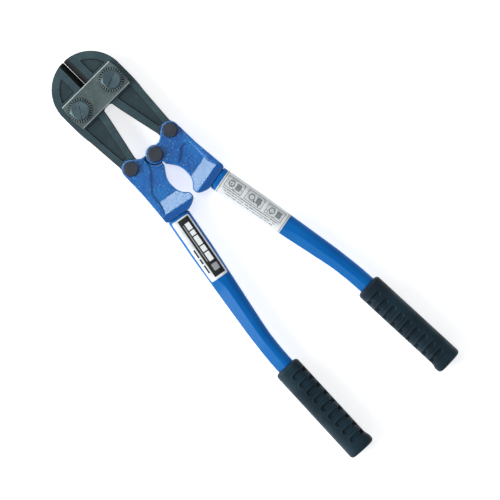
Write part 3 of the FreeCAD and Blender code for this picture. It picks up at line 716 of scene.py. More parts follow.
@dataclass(frozen=True)
class RubberFinish:
    """Matt moulded rubber with a fine pebble, dust and a painted highlight on its edges, and painted shade
    in its grooves.
    """

    name: str
    base: Colour
    shade: Colour
    dust: Colour
    groove: Colour
    roughness: float
    dusty: float = 0.7
    specular: float = 0.25
    pebble_mm: float = 0.04

    def material(self) -> bpy.types.Material:
        """Build the material.

        Returns:
            The material.
        """
        material, graph, principled = new_material(self.name)
        grain = graph.group(Effects.cast_grain(), {"Grain Scale": 1500.0, "Mottle Scale": 45.0})
        wear = graph.group(Effects.edge_wear(), {"Radius": 0.5 * MM, "Patch Scale": 90.0})
        corner_shade = graph.group(Effects.crevice(), {"Distance": 1.8 * MM})
        colour = graph.blend(grain.outputs["Mottle"], self.shade, self.base)
        # dust and a painted highlight on the edges and slot rims
        colour = graph.blend(graph.math("MULTIPLY", wear.outputs["Mask"], self.dusty), colour, self.dust)
        # painted shade in the slots and grooves
        colour = graph.blend(corner_shade.outputs["Mask"], colour, self.groove)
        graph.feed(principled.inputs["Base Color"], colour)
        rough = graph.ramp(grain.outputs["Mottle"], 0.0, 1.0, self.roughness + 0.06, self.roughness - 0.06)
        graph.feed(principled.inputs["Roughness"], rough)
        principled.inputs["Specular IOR Level"].default_value = self.specular
        set_relief(graph, principled, grain.outputs["Height"], self.pebble_mm)
        return material


@dataclass(frozen=True)
class PrintedBox:
    """One printed rectangle: its centre and half sizes across and along the label, in millimetres."""

    across: float
    along: float
    half_across: float
    half_along: float
    colour: Colour
    corner: float = 0.3


@dataclass(frozen=True)
class PrintedFilm:
    """A printed label film: plain boxes over a ground colour, with rubbed edges and faint creases."""

    name: str
    ground: Colour
    worn: Colour
    boxes: tuple[PrintedBox, ...]
    roughness: float
    dashes: tuple[PrintedBox, ...] = ()
    sketches: tuple[PrintedBox, ...] = ()
    rubbed: float = 0.4
    crease_mm: float = 0.02

    def mask(self, graph: Graph, across: Socket, along: Socket, box: PrintedBox) -> Socket:
        """Where one box is printed.

        Args:
            graph: The material's graph.
            across: Millimetres across the label.
            along: Millimetres along it.
            box: The box.

        Returns:
            The mask.
        """
        node = graph.group(Effects.printed_box(), {
            "Across": across, "Along": along, "Across Centre": box.across, "Along Centre": box.along,
            "Across Half": box.half_across, "Along Half": box.half_along, "Corner": box.corner,
        })
        return node.outputs["Mask"]

    def material(self) -> bpy.types.Material:
        """Build the material.

        Returns:
            The material.
        """
        material, graph, principled = new_material(self.name)
        across, along, _ = graph.split(graph.add("ShaderNodeUVMap", uv_map=PRINT_MAP).outputs[0])
        mottle = graph.noise(graph.place(), 120.0, 4.0)
        colour = graph.blend(graph.ramp(mottle, 0.35, 0.75), self.ground, self.worn)
        for box in self.boxes:
            colour = graph.blend(self.mask(graph, across, along, box), colour, box.colour)
        stretched = graph.add("ShaderNodeCombineXYZ")
        graph.feed(stretched.inputs[0], graph.math("MULTIPLY", along, 1.1))
        graph.feed(stretched.inputs[1], graph.math("MULTIPLY", across, 0.55))
        breaks = graph.ramp(graph.noise(stretched.outputs[0], 1.0, 1.0), 0.44, 0.48)
        for box in self.dashes:
            printed = graph.math("MULTIPLY", self.mask(graph, across, along, box), breaks)
            colour = graph.blend(printed, colour, box.colour)
        level = graph.math("SUBTRACT", graph.noise(graph.place(), 210.0, 1.0), 0.5)
        contour = graph.ramp(graph.math("ABSOLUTE", level), 0.006, 0.022, 1.0, 0.0)
        for box in self.sketches:
            printed = graph.math("MULTIPLY", self.mask(graph, across, along, box), contour)
            colour = graph.blend(printed, colour, box.colour)
        wear = graph.group(Effects.edge_wear(), {"Radius": 0.3 * MM, "Patch Scale": 200.0})
        colour = graph.blend(graph.math("MULTIPLY", wear.outputs["Mask"], self.rubbed), colour, self.worn)
        graph.feed(principled.inputs["Base Color"], colour)
        rough = graph.ramp(mottle, 0.3, 0.7, self.roughness - 0.05, self.roughness + 0.08)
        graph.feed(principled.inputs["Roughness"], rough)
        set_relief(graph, principled, graph.noise(graph.place(), 260.0, 2.0), self.crease_mm)
        return material


# ------------------------------------------------------------------ the handle's line and section


def smooth_step(value: np.ndarray, low: float, high: float) -> np.ndarray:
    """Rise smoothly from 0 at low to 1 at high."""
    share = np.clip((value - low) / (high - low), 0.0, 1.0)
    return share * share * (3.0 - 2.0 * share)


@dataclass(frozen=True)
class HandleLine:
    """Centre line of a handle in plan, in millimetres: straight, a gentle bend, straight again."""

    side: Side
    start_x: float = 25.6
    start_y: float = -55.6
    tilt: float = 10.5
    grip_tilt: float = 2.4
    straight: float = 122.0
    bend: float = 50.0
    mid_height: float = 15.0

    @property
    def grip_start(self) -> float:
        """Distance along the line at which the grip begins."""
        return self.straight + self.bend

    def at(self, distance: float) -> tuple[float, float, float]:
        """X and Y of a point on the line, and its tilt in radians, for the right side.

        Args:
            distance: Millimetres down from the casting's end face.

        Returns:
            X, Y and tilt.
        """
        tilt, grip_tilt = math.radians(self.tilt), math.radians(self.grip_tilt)
        first = min(distance, self.straight)
        x = self.start_x + first * math.sin(tilt)
        y = self.start_y - first * math.cos(tilt)
        turned = min(max(distance - self.straight, 0.0), self.bend)
        radius = self.bend / (tilt - grip_tilt)
        now = tilt - turned / radius
        x += radius * (math.cos(now) - math.cos(tilt))
        y -= radius * (math.sin(tilt) - math.sin(now))
        last = max(distance - self.grip_start, 0.0)
        return x + last * math.sin(grip_tilt), y - last * math.cos(grip_tilt), now

    def place(self, distance: float, outward: float, height: float) -> tuple[float, float, float]:
        """A point beside the line, in metres in the tool's frame.

        Args:
            distance: Millimetres along the line.
            outward: Millimetres away from the tool's centre line, square to the handle.
            height: Millimetres above the handle's mid height.

        Returns:
            X, Y and Z in metres.
        """
        x, y, tilt = self.at(distance)
        x += outward * math.cos(tilt)
        y += outward * math.sin(tilt)
        return self.side.value * x * MM, y * MM, (self.mid_height + height) * MM


@dataclass(frozen=True)
class TubeSection:
    """The tube's rounded rectangle, which narrows and grows taller down the handle. Millimetres."""

    facet_side: int
    facet_start: float
    facet_full: float
    facet_ridge: float
    facet_tilt: float
    top_width: float = 22.5
    end_width: float = 17.0
    top_height: float = 18.0
    end_height: float = 20.0
    corner: float = 7.0
    taper_start: float = 40.0
    taper_length: float = 100.0

    def size(self, distance: float) -> tuple[float, float]:
        """Width and height at a distance down the handle."""
        share = min(max((distance - self.taper_start) / self.taper_length, 0.0), 1.0)
        width = self.top_width + (self.end_width - self.top_width) * share
        return width, self.top_height + (self.end_height - self.top_height) * share

    def outline(self, distance: float, run: np.ndarray, lift: float) -> tuple[np.ndarray, np.ndarray]:
        """Points of the section.

        Args:
            distance: Millimetres down the handle.
            run: Millimetres round the section from the middle of its top, outwards first.
            lift: Millimetres off the tube's surface.

        Returns:
            Outward places and heights, in millimetres.
        """
        width, height = self.size(distance)
        flat, wall = width / 2 - self.corner, height / 2 - self.corner
        quarter = self.corner * math.pi / 2
        lengths = [0, flat, quarter, 2 * wall, quarter, 2 * flat, quarter, 2 * wall, quarter, flat]
        stations = np.cumsum(lengths)
        run = np.mod(run, stations[-1])
        side_centre = np.interp(run, stations, [0, flat, flat, flat, flat, -flat, -flat, -flat, -flat, 0])
        up, down = [wall, wall, wall], [-wall, -wall, -wall, -wall]
        height_centre = np.interp(run, stations, up + down + up)
        quarters = np.interp(run, stations, [0, 0, 1, 1, 2, 2, 3, 3, 4, 4]) * math.pi / 2
        radius = self.corner + lift
        side_place = side_centre + radius * np.sin(quarters)
        top = self.facet(distance, side_place, height / 2 + lift)
        return side_place, np.minimum(height_centre + radius * np.cos(quarters), top)

    def facet(self, distance: float, side_place: np.ndarray, top: float) -> np.ndarray:
        """Height of the flat that rolling left along one side; it grows from nothing below the label.

        Args:
            distance: Millimetres down the handle.
            side_place: Outward places of the points.
            top: Height of the section's top.

        Returns:
            The flat's height at those places.
        """
        share = float(smooth_step(np.array(distance), self.facet_start, self.facet_full))
        edge = self.size(distance)[0] / 2
        ridge = edge + (self.facet_ridge - edge) * share
        fall = math.tan(math.radians(self.facet_tilt * (0.55 + 0.45 * share)))
        return top - fall * np.maximum(self.facet_side * side_place - ridge, 0.0)

    def girth(self, distance: float) -> float:
        """Millimetres round the section."""
        width, height = self.size(distance)
        return 2 * (width + height) - (8 - 2 * math.pi) * self.corner


# ------------------------------------------------------------------ meshes


def dress(obj: bpy.types.Object, material: bpy.types.Material) -> None:
    """Give an object one material."""
    obj.data.materials.clear()
    obj.data.materials.append(material)


def new_piece(
    name: str, mesh: bpy.types.Mesh, body: str, stands_for: str,
) -> bpy.types.Object:
    """Make an object of a finished mesh and let it ride on a body in place of a CAD node.

    Args:
        name: The piece's name.
        mesh: Its mesh, already in place.
        body: The CAD body that it moves with.
        stands_for: The CAD node that it replaces.

    Returns:
        The object.
    """
    mesh.name = name
    piece = bpy.data.objects.new(name, mesh)
    bpy.context.scene.collection.objects.link(piece)
    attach(piece, body)
    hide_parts(stands_for)
    log.info("built %s: %d faces", name, len(mesh.polygons))
    return piece


def ring_mesh(rings: list[list[tuple[float, float, float]]]) -> bpy.types.Mesh:
    """Skin closed rings of points with quads, cap both ends and shade it smooth.

    Args:
        rings: Rings with the same number of points each, in metres.

    Returns:
        The mesh, with its faces pointing outwards.
    """
    count = len(rings[0])
    verts = [point for ring in rings for point in ring]
    faces = []
    for row in range(len(rings) - 1):
        for column in range(count):
            beside = (column + 1) % count
            first, second = row * count, (row + 1) * count
            faces.append((first + column, first + beside, second + beside, second + column))
    faces.append(tuple(reversed(range(count))))
    faces.append(tuple(range((len(rings) - 1) * count, len(rings) * count)))
    mesh = bpy.data.meshes.new("skin")
    mesh.from_pydata(verts, [], faces)
    shape = bmesh.new()
    shape.from_mesh(mesh)
    bmesh.ops.recalc_face_normals(shape, faces=shape.faces)
    for face in shape.faces:
        face.smooth = len(face.verts) == 4
    shape.to_mesh(mesh)
    shape.free()
    return mesh


def settle(obj: bpy.types.Object) -> bpy.types.Mesh:
    """Turn an object and its modifiers into a plain mesh, and remove the object.

    Args:
        obj: The object.

    Returns:
        The mesh.
    """
    graph = bpy.context.evaluated_depsgraph_get()
    graph.update()
    mesh = bpy.data.meshes.new_from_object(obj.evaluated_get(graph))
    obj.modifiers.clear()
    bpy.data.objects.remove(obj)
    return mesh


@dataclass(frozen=True)
class RubberGrip:
    """A moulded sleeve with finger slots on its facing side. Millimetres."""

    line: HandleLine
    length: float = 105.0
    half_width: float = 13.2
    half_height: float = 15.0
    squareness: float = 3.2
    flare: float = 1.5
    flare_start: float = 93.0
    flare_end: float = 99.5
    end_radius: float = 3.2
    slot_count: int = 9
    slot_pitch: float = 9.8
    first_slot: float = 12.6
    slot_half: float = 2.5
    slot_end: float = 2.8
    slot_depth: float = 1.3
    notch_half: float = 1.7
    notch_depth: float = 1.9
    notch_start: float = 9.6
    rim: float = 0.5
    spine_half: float = 5.5
    margin: float = 0.55
    seam_height: float = 0.15
    seam_half: float = 0.5
    crowding: float = 0.06
    rows: int = 300
    columns: int = 220

    def inset(self, along: np.ndarray) -> np.ndarray:
        """How far the rounded ends pull the section in."""
        near_end = np.minimum(along, self.length - along)
        reach = np.clip(1.0 - near_end / self.end_radius, 0.0, 1.0)
        return self.end_radius * (1.0 - np.sqrt(1.0 - reach ** 2))

    def relief(self, along: float, outward: np.ndarray, height: np.ndarray) -> np.ndarray:
        """Depth of the finger slots and height of their rims; positive is outwards.

        Args:
            along: Millimetres down the grip.
            outward: Outward places of the points.
            height: Their heights.

        Returns:
            How far each point moves along its normal.
        """
        nearest = round((along - self.first_slot) / self.slot_pitch)
        nearest = min(max(nearest, 0), self.slot_count - 1)
        offset = abs(along - self.first_slot - nearest * self.slot_pitch)
        beyond = np.maximum(outward - (self.slot_end - self.slot_half), 0.0)
        past = np.hypot(beyond, offset) - self.slot_half
        floor = -self.slot_depth * smooth_step(-past, -0.1, 0.4)
        rim = self.rim * np.exp(-((past - 0.5) / 0.38) ** 2)
        at_edge = smooth_step(-outward, self.notch_start, self.notch_start + 0.4)
        notch = -self.notch_depth * at_edge * smooth_step(self.notch_half - offset, 0.0, 0.4)
        clear_of_spine = smooth_step(np.abs(height), self.spine_half, self.spine_half + 1.2)
        return (floor + notch) * clear_of_spine + rim * clear_of_spine

    def ring(self, along: float) -> list[tuple[float, float, float]]:
        """Points of the section at a distance down the grip.

        Args:
            along: Millimetres down the grip.

        Returns:
            The points, in metres.
        """
        angle = np.linspace(0.0, 2.0 * math.pi, self.columns, endpoint=False)
        power = 2.0 / self.squareness
        unit_x = np.sign(np.cos(angle)) * np.abs(np.cos(angle)) ** power
        unit_z = np.sign(np.sin(angle)) * np.abs(np.sin(angle)) ** power
        pull = float(self.inset(np.array(along)))
        flare = self.flare * float(smooth_step(np.array(along), self.flare_start, self.flare_end))
        width = np.where(unit_x < 0, self.half_width + flare, self.half_width) - pull
        height = np.full_like(width, self.half_height - pull)
        x, z = width * unit_x, height * unit_z
        steepness = self.squareness - 1.0
        normal_x = np.sign(x) * np.abs(unit_x) ** steepness / width
        normal_z = np.sign(z) * np.abs(unit_z) ** steepness / height
        length = np.hypot(normal_x, normal_z)
        seam = self.seam_height * np.exp(-(z / self.seam_half) ** 2)
        depth = self.relief(along, x, z) + seam - self.margin
        x = x + normal_x / length * depth
        z = z + normal_z / length * depth
        place = self.line.grip_start + along
        return [self.line.place(place, float(a), float(b)) for a, b in zip(x, z)]

    def build(self, material: bpy.types.Material) -> bpy.types.Object:
        """Make the grip of rings that crowd together at its ends.

        Args:
            material: Its finish.

        Returns:
            The piece.
        """
        turn = np.linspace(0.0, math.pi, self.rows + 1)
        even = np.linspace(0.0, self.length, self.rows + 1)
        crowded = self.length * (1.0 - np.cos(turn)) / 2.0
        stations = (1.0 - self.crowding) * even + self.crowding * crowded
        mesh = ring_mesh([self.ring(float(along)) for along in stations])
        word = self.line.side.word
        piece = new_piece(f"{word}_rubber_grip", mesh, f"{word}_handle", f"{word}_grip")
        dress(piece, material)
        return piece


@dataclass(frozen=True)
class HandleTube:
    """The drawn tube between the casting and the grip. Millimetres."""

    line: HandleLine
    section: TubeSection
    gap: float = 0.4
    length: float = 264.0
    wall: float = 1.8
    lip: float = 0.5
    lip_steps: int = 4
    bore_depth: float = 26.0
    rows: int = 176
    columns: int = 96

    def ring(self, distance: float, lift: float) -> list[tuple[float, float, float]]:
        """Points of one ring."""
        run = np.linspace(0.0, self.section.girth(distance), self.columns, endpoint=False)
        x, z = self.section.outline(distance, run, lift)
        return [self.line.place(distance, float(a), float(b)) for a, b in zip(x, z)]

    def build(self, material: bpy.types.Material) -> bpy.types.Object:
        """Make the tube: its bore at the casting's end, a rounded lip, then the outside down to the grip.

        Args:
            material: Its finish.

        Returns:
            The piece.
        """
        rings = [self.ring(self.bore_depth, -self.wall), self.ring(self.gap + self.lip, -self.wall)]
        for step in range(self.lip_steps + 1):
            turn = math.pi / 2 * step / self.lip_steps
            back = self.lip * (1 - math.cos(turn))
            rings.append(self.ring(self.gap + back, -self.lip * (1 - math.sin(turn))))
        rings += [self.ring(float(d), 0.0) for d in np.linspace(self.gap + 1.0, self.length, self.rows)]
        mesh = ring_mesh(rings)
        word = self.line.side.word
        piece = new_piece(f"{word}_drawn_tube", mesh, f"{word}_handle", f"{word}_tube")
        dress(piece, material)
        return piece


@dataclass(frozen=True)
class PrintedLabel:
    """A film label that follows the tube: a patch on its top, or a wrap right round it. Millimetres."""

    line: HandleLine
    section: TubeSection
    drop: float
    length: float
    half_width: float | None
    slot: str
    corner: float = 2.0
    thick: float = 0.25
    lift: float = 0.02
    lap_gap: float = 0.8
    corner_rows: int = 9
    rows: int = 72
    columns: int = 96

    def half_run(self, along: float) -> float:
        """Half the label's width at a place along it; its corners are round.

        Args:
            along: Millimetres along the label.

        Returns:
            Millimetres round the tube from its middle.
        """
        if self.half_width is None:
            return (self.section.girth(self.drop + along) - self.lap_gap) / 2
        near_end = min(along, self.length - along)
        back = max(self.corner - near_end, 0.0)
        return self.half_width - self.corner + math.sqrt(self.corner ** 2 - back ** 2)

    def build(self, material: bpy.types.Material) -> bpy.types.Object:
        """Make the film as an upper and a lower sheet that meet all round.

        Args:
            material: Its finish.

        Returns:
            The piece.
        """
        shape = bmesh.new()
        prints = shape.loops.layers.uv.new(PRINT_MAP)
        stations = np.concatenate([
            np.linspace(0.0, self.corner, self.corner_rows)[:-1],
            np.linspace(self.corner, self.length - self.corner, self.rows),
            np.linspace(self.length - self.corner, self.length, self.corner_rows)[1:],
        ])
        sheets: list[list[list[bmesh.types.BMVert]]] = []
        where: dict[bmesh.types.BMVert, tuple[float, float]] = {}
        for lift in (self.lift + self.thick, self.lift):
            sheet = []
            for along in stations:
                half = self.half_run(float(along))
                run = np.linspace(-half, half, self.columns)
                x, z = self.section.outline(self.drop + float(along), run, lift)
                row = []
                for across, side_place, height in zip(run, x, z):
                    point = self.line.place(self.drop + float(along), float(side_place), float(height))
                    vert = shape.verts.new(point)
                    where[vert] = (float(across), float(along))
                    row.append(vert)
                sheet.append(row)
            sheets.append(sheet)
        upper, lower = sheets
        for sheet in sheets:
            for first, second in zip(sheet, sheet[1:]):
                for column in range(self.columns - 1):
                    shape.faces.new((first[column], first[column + 1], second[column + 1], second[column]))
        for column in range(self.columns - 1):
            for row in (0, -1):
                pair = (upper[row], lower[row])
                shape.faces.new((pair[0][column], pair[0][column + 1], pair[1][column + 1], pair[1][column]))
        for place in range(len(stations) - 1):
            for column in (0, -1):
                ends = (upper[place][column], upper[place + 1][column])
                feet = (lower[place + 1][column], lower[place][column])
                shape.faces.new(ends + feet)
        bmesh.ops.recalc_face_normals(shape, faces=shape.faces)
        for face in shape.faces:
            face.smooth = True
            for loop in face.loops:
                loop[prints].uv = where[loop.vert]
        mesh = bpy.data.meshes.new("label")
        shape.to_mesh(mesh)
        shape.free()
        word = self.line.side.word
        piece = new_piece(f"{word}_printed_label", mesh, f"{word}_handle", f"{word}_label")
        dress(piece, material)
        return piece


@dataclass(frozen=True)
class CastHead:
    """The handle's casting: the designed solid with the soft, uneven skin that a sand casting has."""

    side: Side
    voxel_mm: float = 0.42
    smoothing: int = 8
    grain_mm: float = 0.10
    grain_scale: float = 620.0

    def build(self, material: bpy.types.Material) -> bpy.types.Object:
        """Remesh a copy of the CAD casting finely, ease its edges and roughen it inwards.

        Args:
            material: Its finish.

        Returns:
            The piece.
        """
        word = self.side.word
        node = f"{word}_casting"
        mesh = frame["nodes"][node].data.copy()
        shape = bmesh.new()
        shape.from_mesh(mesh)
        bmesh.ops.remove_doubles(shape, verts=shape.verts, dist=0.001 * MM)
        shape.to_mesh(mesh)
        shape.free()
        working = bpy.data.objects.new("working", mesh)
        bpy.context.scene.collection.objects.link(working)
        remesh = working.modifiers.new("even", "REMESH")
        remesh.mode = "VOXEL"
        remesh.voxel_size = self.voxel_mm * MM
        remesh.use_smooth_shade = True
        ease = working.modifiers.new("ease", "SMOOTH")
        ease.factor = 0.5
        ease.iterations = self.smoothing
        skin = settle(working)
        self.roughen(skin)
        piece = new_piece(f"{word}_cast_head", skin, f"{word}_handle", node)
        dress(piece, material)
        return piece

    def roughen(self, mesh: bpy.types.Mesh) -> None:
        """Sink each point by a little noise, so that nothing grows towards its neighbours.

        Args:
            mesh: The mesh, changed in place.
        """
        deepest = self.grain_mm * MM
        depths = [(0.5 + 0.5 * noise.noise(vert.co * self.grain_scale)) * deepest for vert in mesh.vertices]
        normals = [vert.normal.copy() for vert in mesh.vertices]
        for vert, normal, depth in zip(mesh.vertices, normals, depths):
            vert.co -= normal * depth


class RingTree:
    """Geometry nodes that make a toothed lock ring: a washer, which its finish paints black as shade between
    the teeth, with radial teeth standing on it.
    """

    def __init__(self) -> None:
        """Build the tree and its named inputs."""
        self.tree = bpy.data.node_groups.new("toothed ring", "GeometryNodeTree")
        for name, kind in (
            ("Centre", "NodeSocketVector"), ("Inner Radius", "NodeSocketFloat"),
            ("Outer Radius", "NodeSocketFloat"),
            ("Base Thickness", "NodeSocketFloat"), ("Tooth Length", "NodeSocketFloat"),
            ("Tooth Width", "NodeSocketFloat"), ("Tooth Height", "NodeSocketFloat"),
            ("Tooth Count", "NodeSocketInt"), ("Finish", "NodeSocketMaterial"),
        ):
            self.tree.interface.new_socket(name, in_out="INPUT", socket_type=kind)
        self.tree.interface.new_socket("Geometry", in_out="OUTPUT", socket_type="NodeSocketGeometry")
        graph = Graph(self.tree)
        given = graph.add("NodeGroupInput").outputs
        washer = self.washer(graph, given)
        teeth = self.teeth(graph, given)
        both = graph.add("GeometryNodeJoinGeometry")
        self.tree.links.new(washer, both.inputs[0])
        self.tree.links.new(teeth, both.inputs[0])
        placed = self.moved(graph, both.outputs[0], given["Centre"])
        real = graph.add("GeometryNodeRealizeInstances", {"Geometry": placed})
        finish = graph.add("GeometryNodeSetMaterial", {
            "Geometry": real.outputs[0], "Material": given["Finish"],
        })
        graph.add("NodeGroupOutput", {"Geometry": finish.outputs[0]})

    @staticmethod
    def moved(graph: Graph, geometry: Socket, by: Socket) -> Socket:
        """Geometry moved by a vector."""
        return graph.add("GeometryNodeTransform", {"Geometry": geometry, "Translation": by}).outputs[0]

    @classmethod
    def washer(cls, graph: Graph, given: bpy.types.bpy_prop_collection) -> Socket:
        """A flat ring: a rectangle swept round a circle.

        Args:
            graph: The tree's graph.
            given: Its inputs.

        Returns:
            The geometry.
        """
        total = graph.math("ADD", given["Inner Radius"], given["Outer Radius"])
        middle = graph.math("MULTIPLY", total, 0.5)
        width = graph.math("SUBTRACT", given["Outer Radius"], given["Inner Radius"])
        path = graph.add("GeometryNodeCurvePrimitiveCircle", {"Resolution": 96, "Radius": middle})
        thickness = given["Base Thickness"]
        profile = graph.add("GeometryNodeCurvePrimitiveQuadrilateral", {"Width": width, "Height": thickness})
        swept = graph.add("GeometryNodeCurveToMesh", {
            "Curve": path.outputs[0], "Profile Curve": profile.outputs[0],
        })
        up = graph.add("ShaderNodeCombineXYZ", {"Z": graph.math("MULTIPLY", thickness, 0.5)})
        return cls.moved(graph, swept.outputs[0], up.outputs[0])

    @classmethod
    def teeth(cls, graph: Graph, given: bpy.types.bpy_prop_collection) -> Socket:
        """Radial ridges with sloping flanks, one on each point of a circle.

        Args:
            graph: The tree's graph.
            given: Its inputs.

        Returns:
            The geometry.
        """
        size = graph.add("ShaderNodeCombineXYZ")
        graph.feed(size.inputs[0], given["Tooth Length"])
        graph.feed(size.inputs[1], given["Tooth Width"])
        graph.feed(size.inputs[2], given["Tooth Height"])
        block = graph.add("GeometryNodeMeshCube", {"Size": size.outputs[0]})
        place = graph.add("GeometryNodeInputPosition").outputs[0]
        x, y, z = graph.split(place)
        half_length = graph.math("MULTIPLY", given["Tooth Length"], 0.5)
        reach = graph.math("SUBTRACT", given["Outer Radius"], half_length)
        spread = graph.math("MULTIPLY", y, graph.math("DIVIDE", graph.math("ADD", x, reach), reach))
        narrowed = graph.math("MULTIPLY", spread, 0.8)
        top = graph.math("GREATER_THAN", z, 0.0)
        widths = {"Switch": top, "False": spread, "True": narrowed}
        chosen = graph.add("GeometryNodeSwitch", widths, input_type="FLOAT")
        shaped = graph.add("ShaderNodeCombineXYZ")
        graph.feed(shaped.inputs[0], x)
        graph.feed(shaped.inputs[1], chosen.outputs[0])
        graph.feed(shaped.inputs[2], z)
        wedge = graph.add("GeometryNodeSetPosition", {
            "Geometry": block.outputs[0], "Position": shaped.outputs[0],
        })
        circle = graph.add("GeometryNodeMeshCircle", {"Vertices": given["Tooth Count"], "Radius": reach})
        share = graph.math("DIVIDE", graph.add("GeometryNodeInputIndex").outputs[0], given["Tooth Count"])
        turn = graph.add("ShaderNodeCombineXYZ", {"Z": graph.math("MULTIPLY", share, 2.0 * math.pi)})
        stood = graph.add("GeometryNodeInstanceOnPoints", {
            "Points": circle.outputs[0], "Instance": wedge.outputs[0], "Rotation": turn.outputs[0],
        })
        up = graph.add("ShaderNodeCombineXYZ", {"Z": graph.math("MULTIPLY", given["Tooth Height"], 0.5)})
        return cls.moved(graph, stood.outputs[0], up.outputs[0])

    def mesh(self, values: dict[str, object]) -> bpy.types.Mesh:
        """Run the tree with its inputs set, as a plain mesh.

        Args:
            values: The inputs' values, by name.

        Returns:
            The mesh.
        """
        holder = bpy.data.objects.new("holder", bpy.data.meshes.new("holder"))
        bpy.context.scene.collection.objects.link(holder)
        modifier = holder.modifiers.new("ring", "NODES")
        modifier.node_group = self.tree
        for item in self.tree.interface.items_tree:
            if item.item_type == "SOCKET" and item.in_out == "INPUT" and item.name in values:
                modifier[item.identifier] = values[item.name]
        return settle(holder)


@dataclass(frozen=True)
class LockRing:
    """A toothed washer under a strap bolt's head. Millimetres."""

    side: Side
    inner_radius: float = 4.9
    outer_radius: float = 11.4
    base_thickness: float = 0.3
    tooth_length: float = 3.2
    tooth_width: float = 1.35
    tooth_height: float = 0.8
    tooth_count: int = 28

    def build(self, tree: RingTree, material: bpy.types.Material) -> bpy.types.Object:
        """Make the ring where the CAD one lies.

        Args:
            tree: The ring's geometry nodes.
            material: Its finish.

        Returns:
            The piece.
        """
        node = f"{self.side.word}_lock_ring"
        low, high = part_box(node)
        centre = ((low[0] + high[0]) / 2, (low[1] + high[1]) / 2, low[2])
        mesh = tree.mesh({
            "Centre": centre, "Inner Radius": self.inner_radius * MM, "Outer Radius": self.outer_radius * MM,
            "Base Thickness": self.base_thickness * MM, "Tooth Length": self.tooth_length * MM,
            "Tooth Width": self.tooth_width * MM, "Tooth Height": self.tooth_height * MM,
            "Tooth Count": self.tooth_count, "Finish": material,
        })
        body = frame["nodes"][node].parent.name.removeprefix("body:")
        return new_piece(f"{self.side.word}_toothed_ring", mesh, body, node)


# ------------------------------------------------------------------ the finishes in use

WHITE = ink(236, 240, 240)
BLACK = ink(12, 14, 17)
PALE_GREY = ink(150, 154, 158)
DARK_GREY = ink(70, 74, 80)


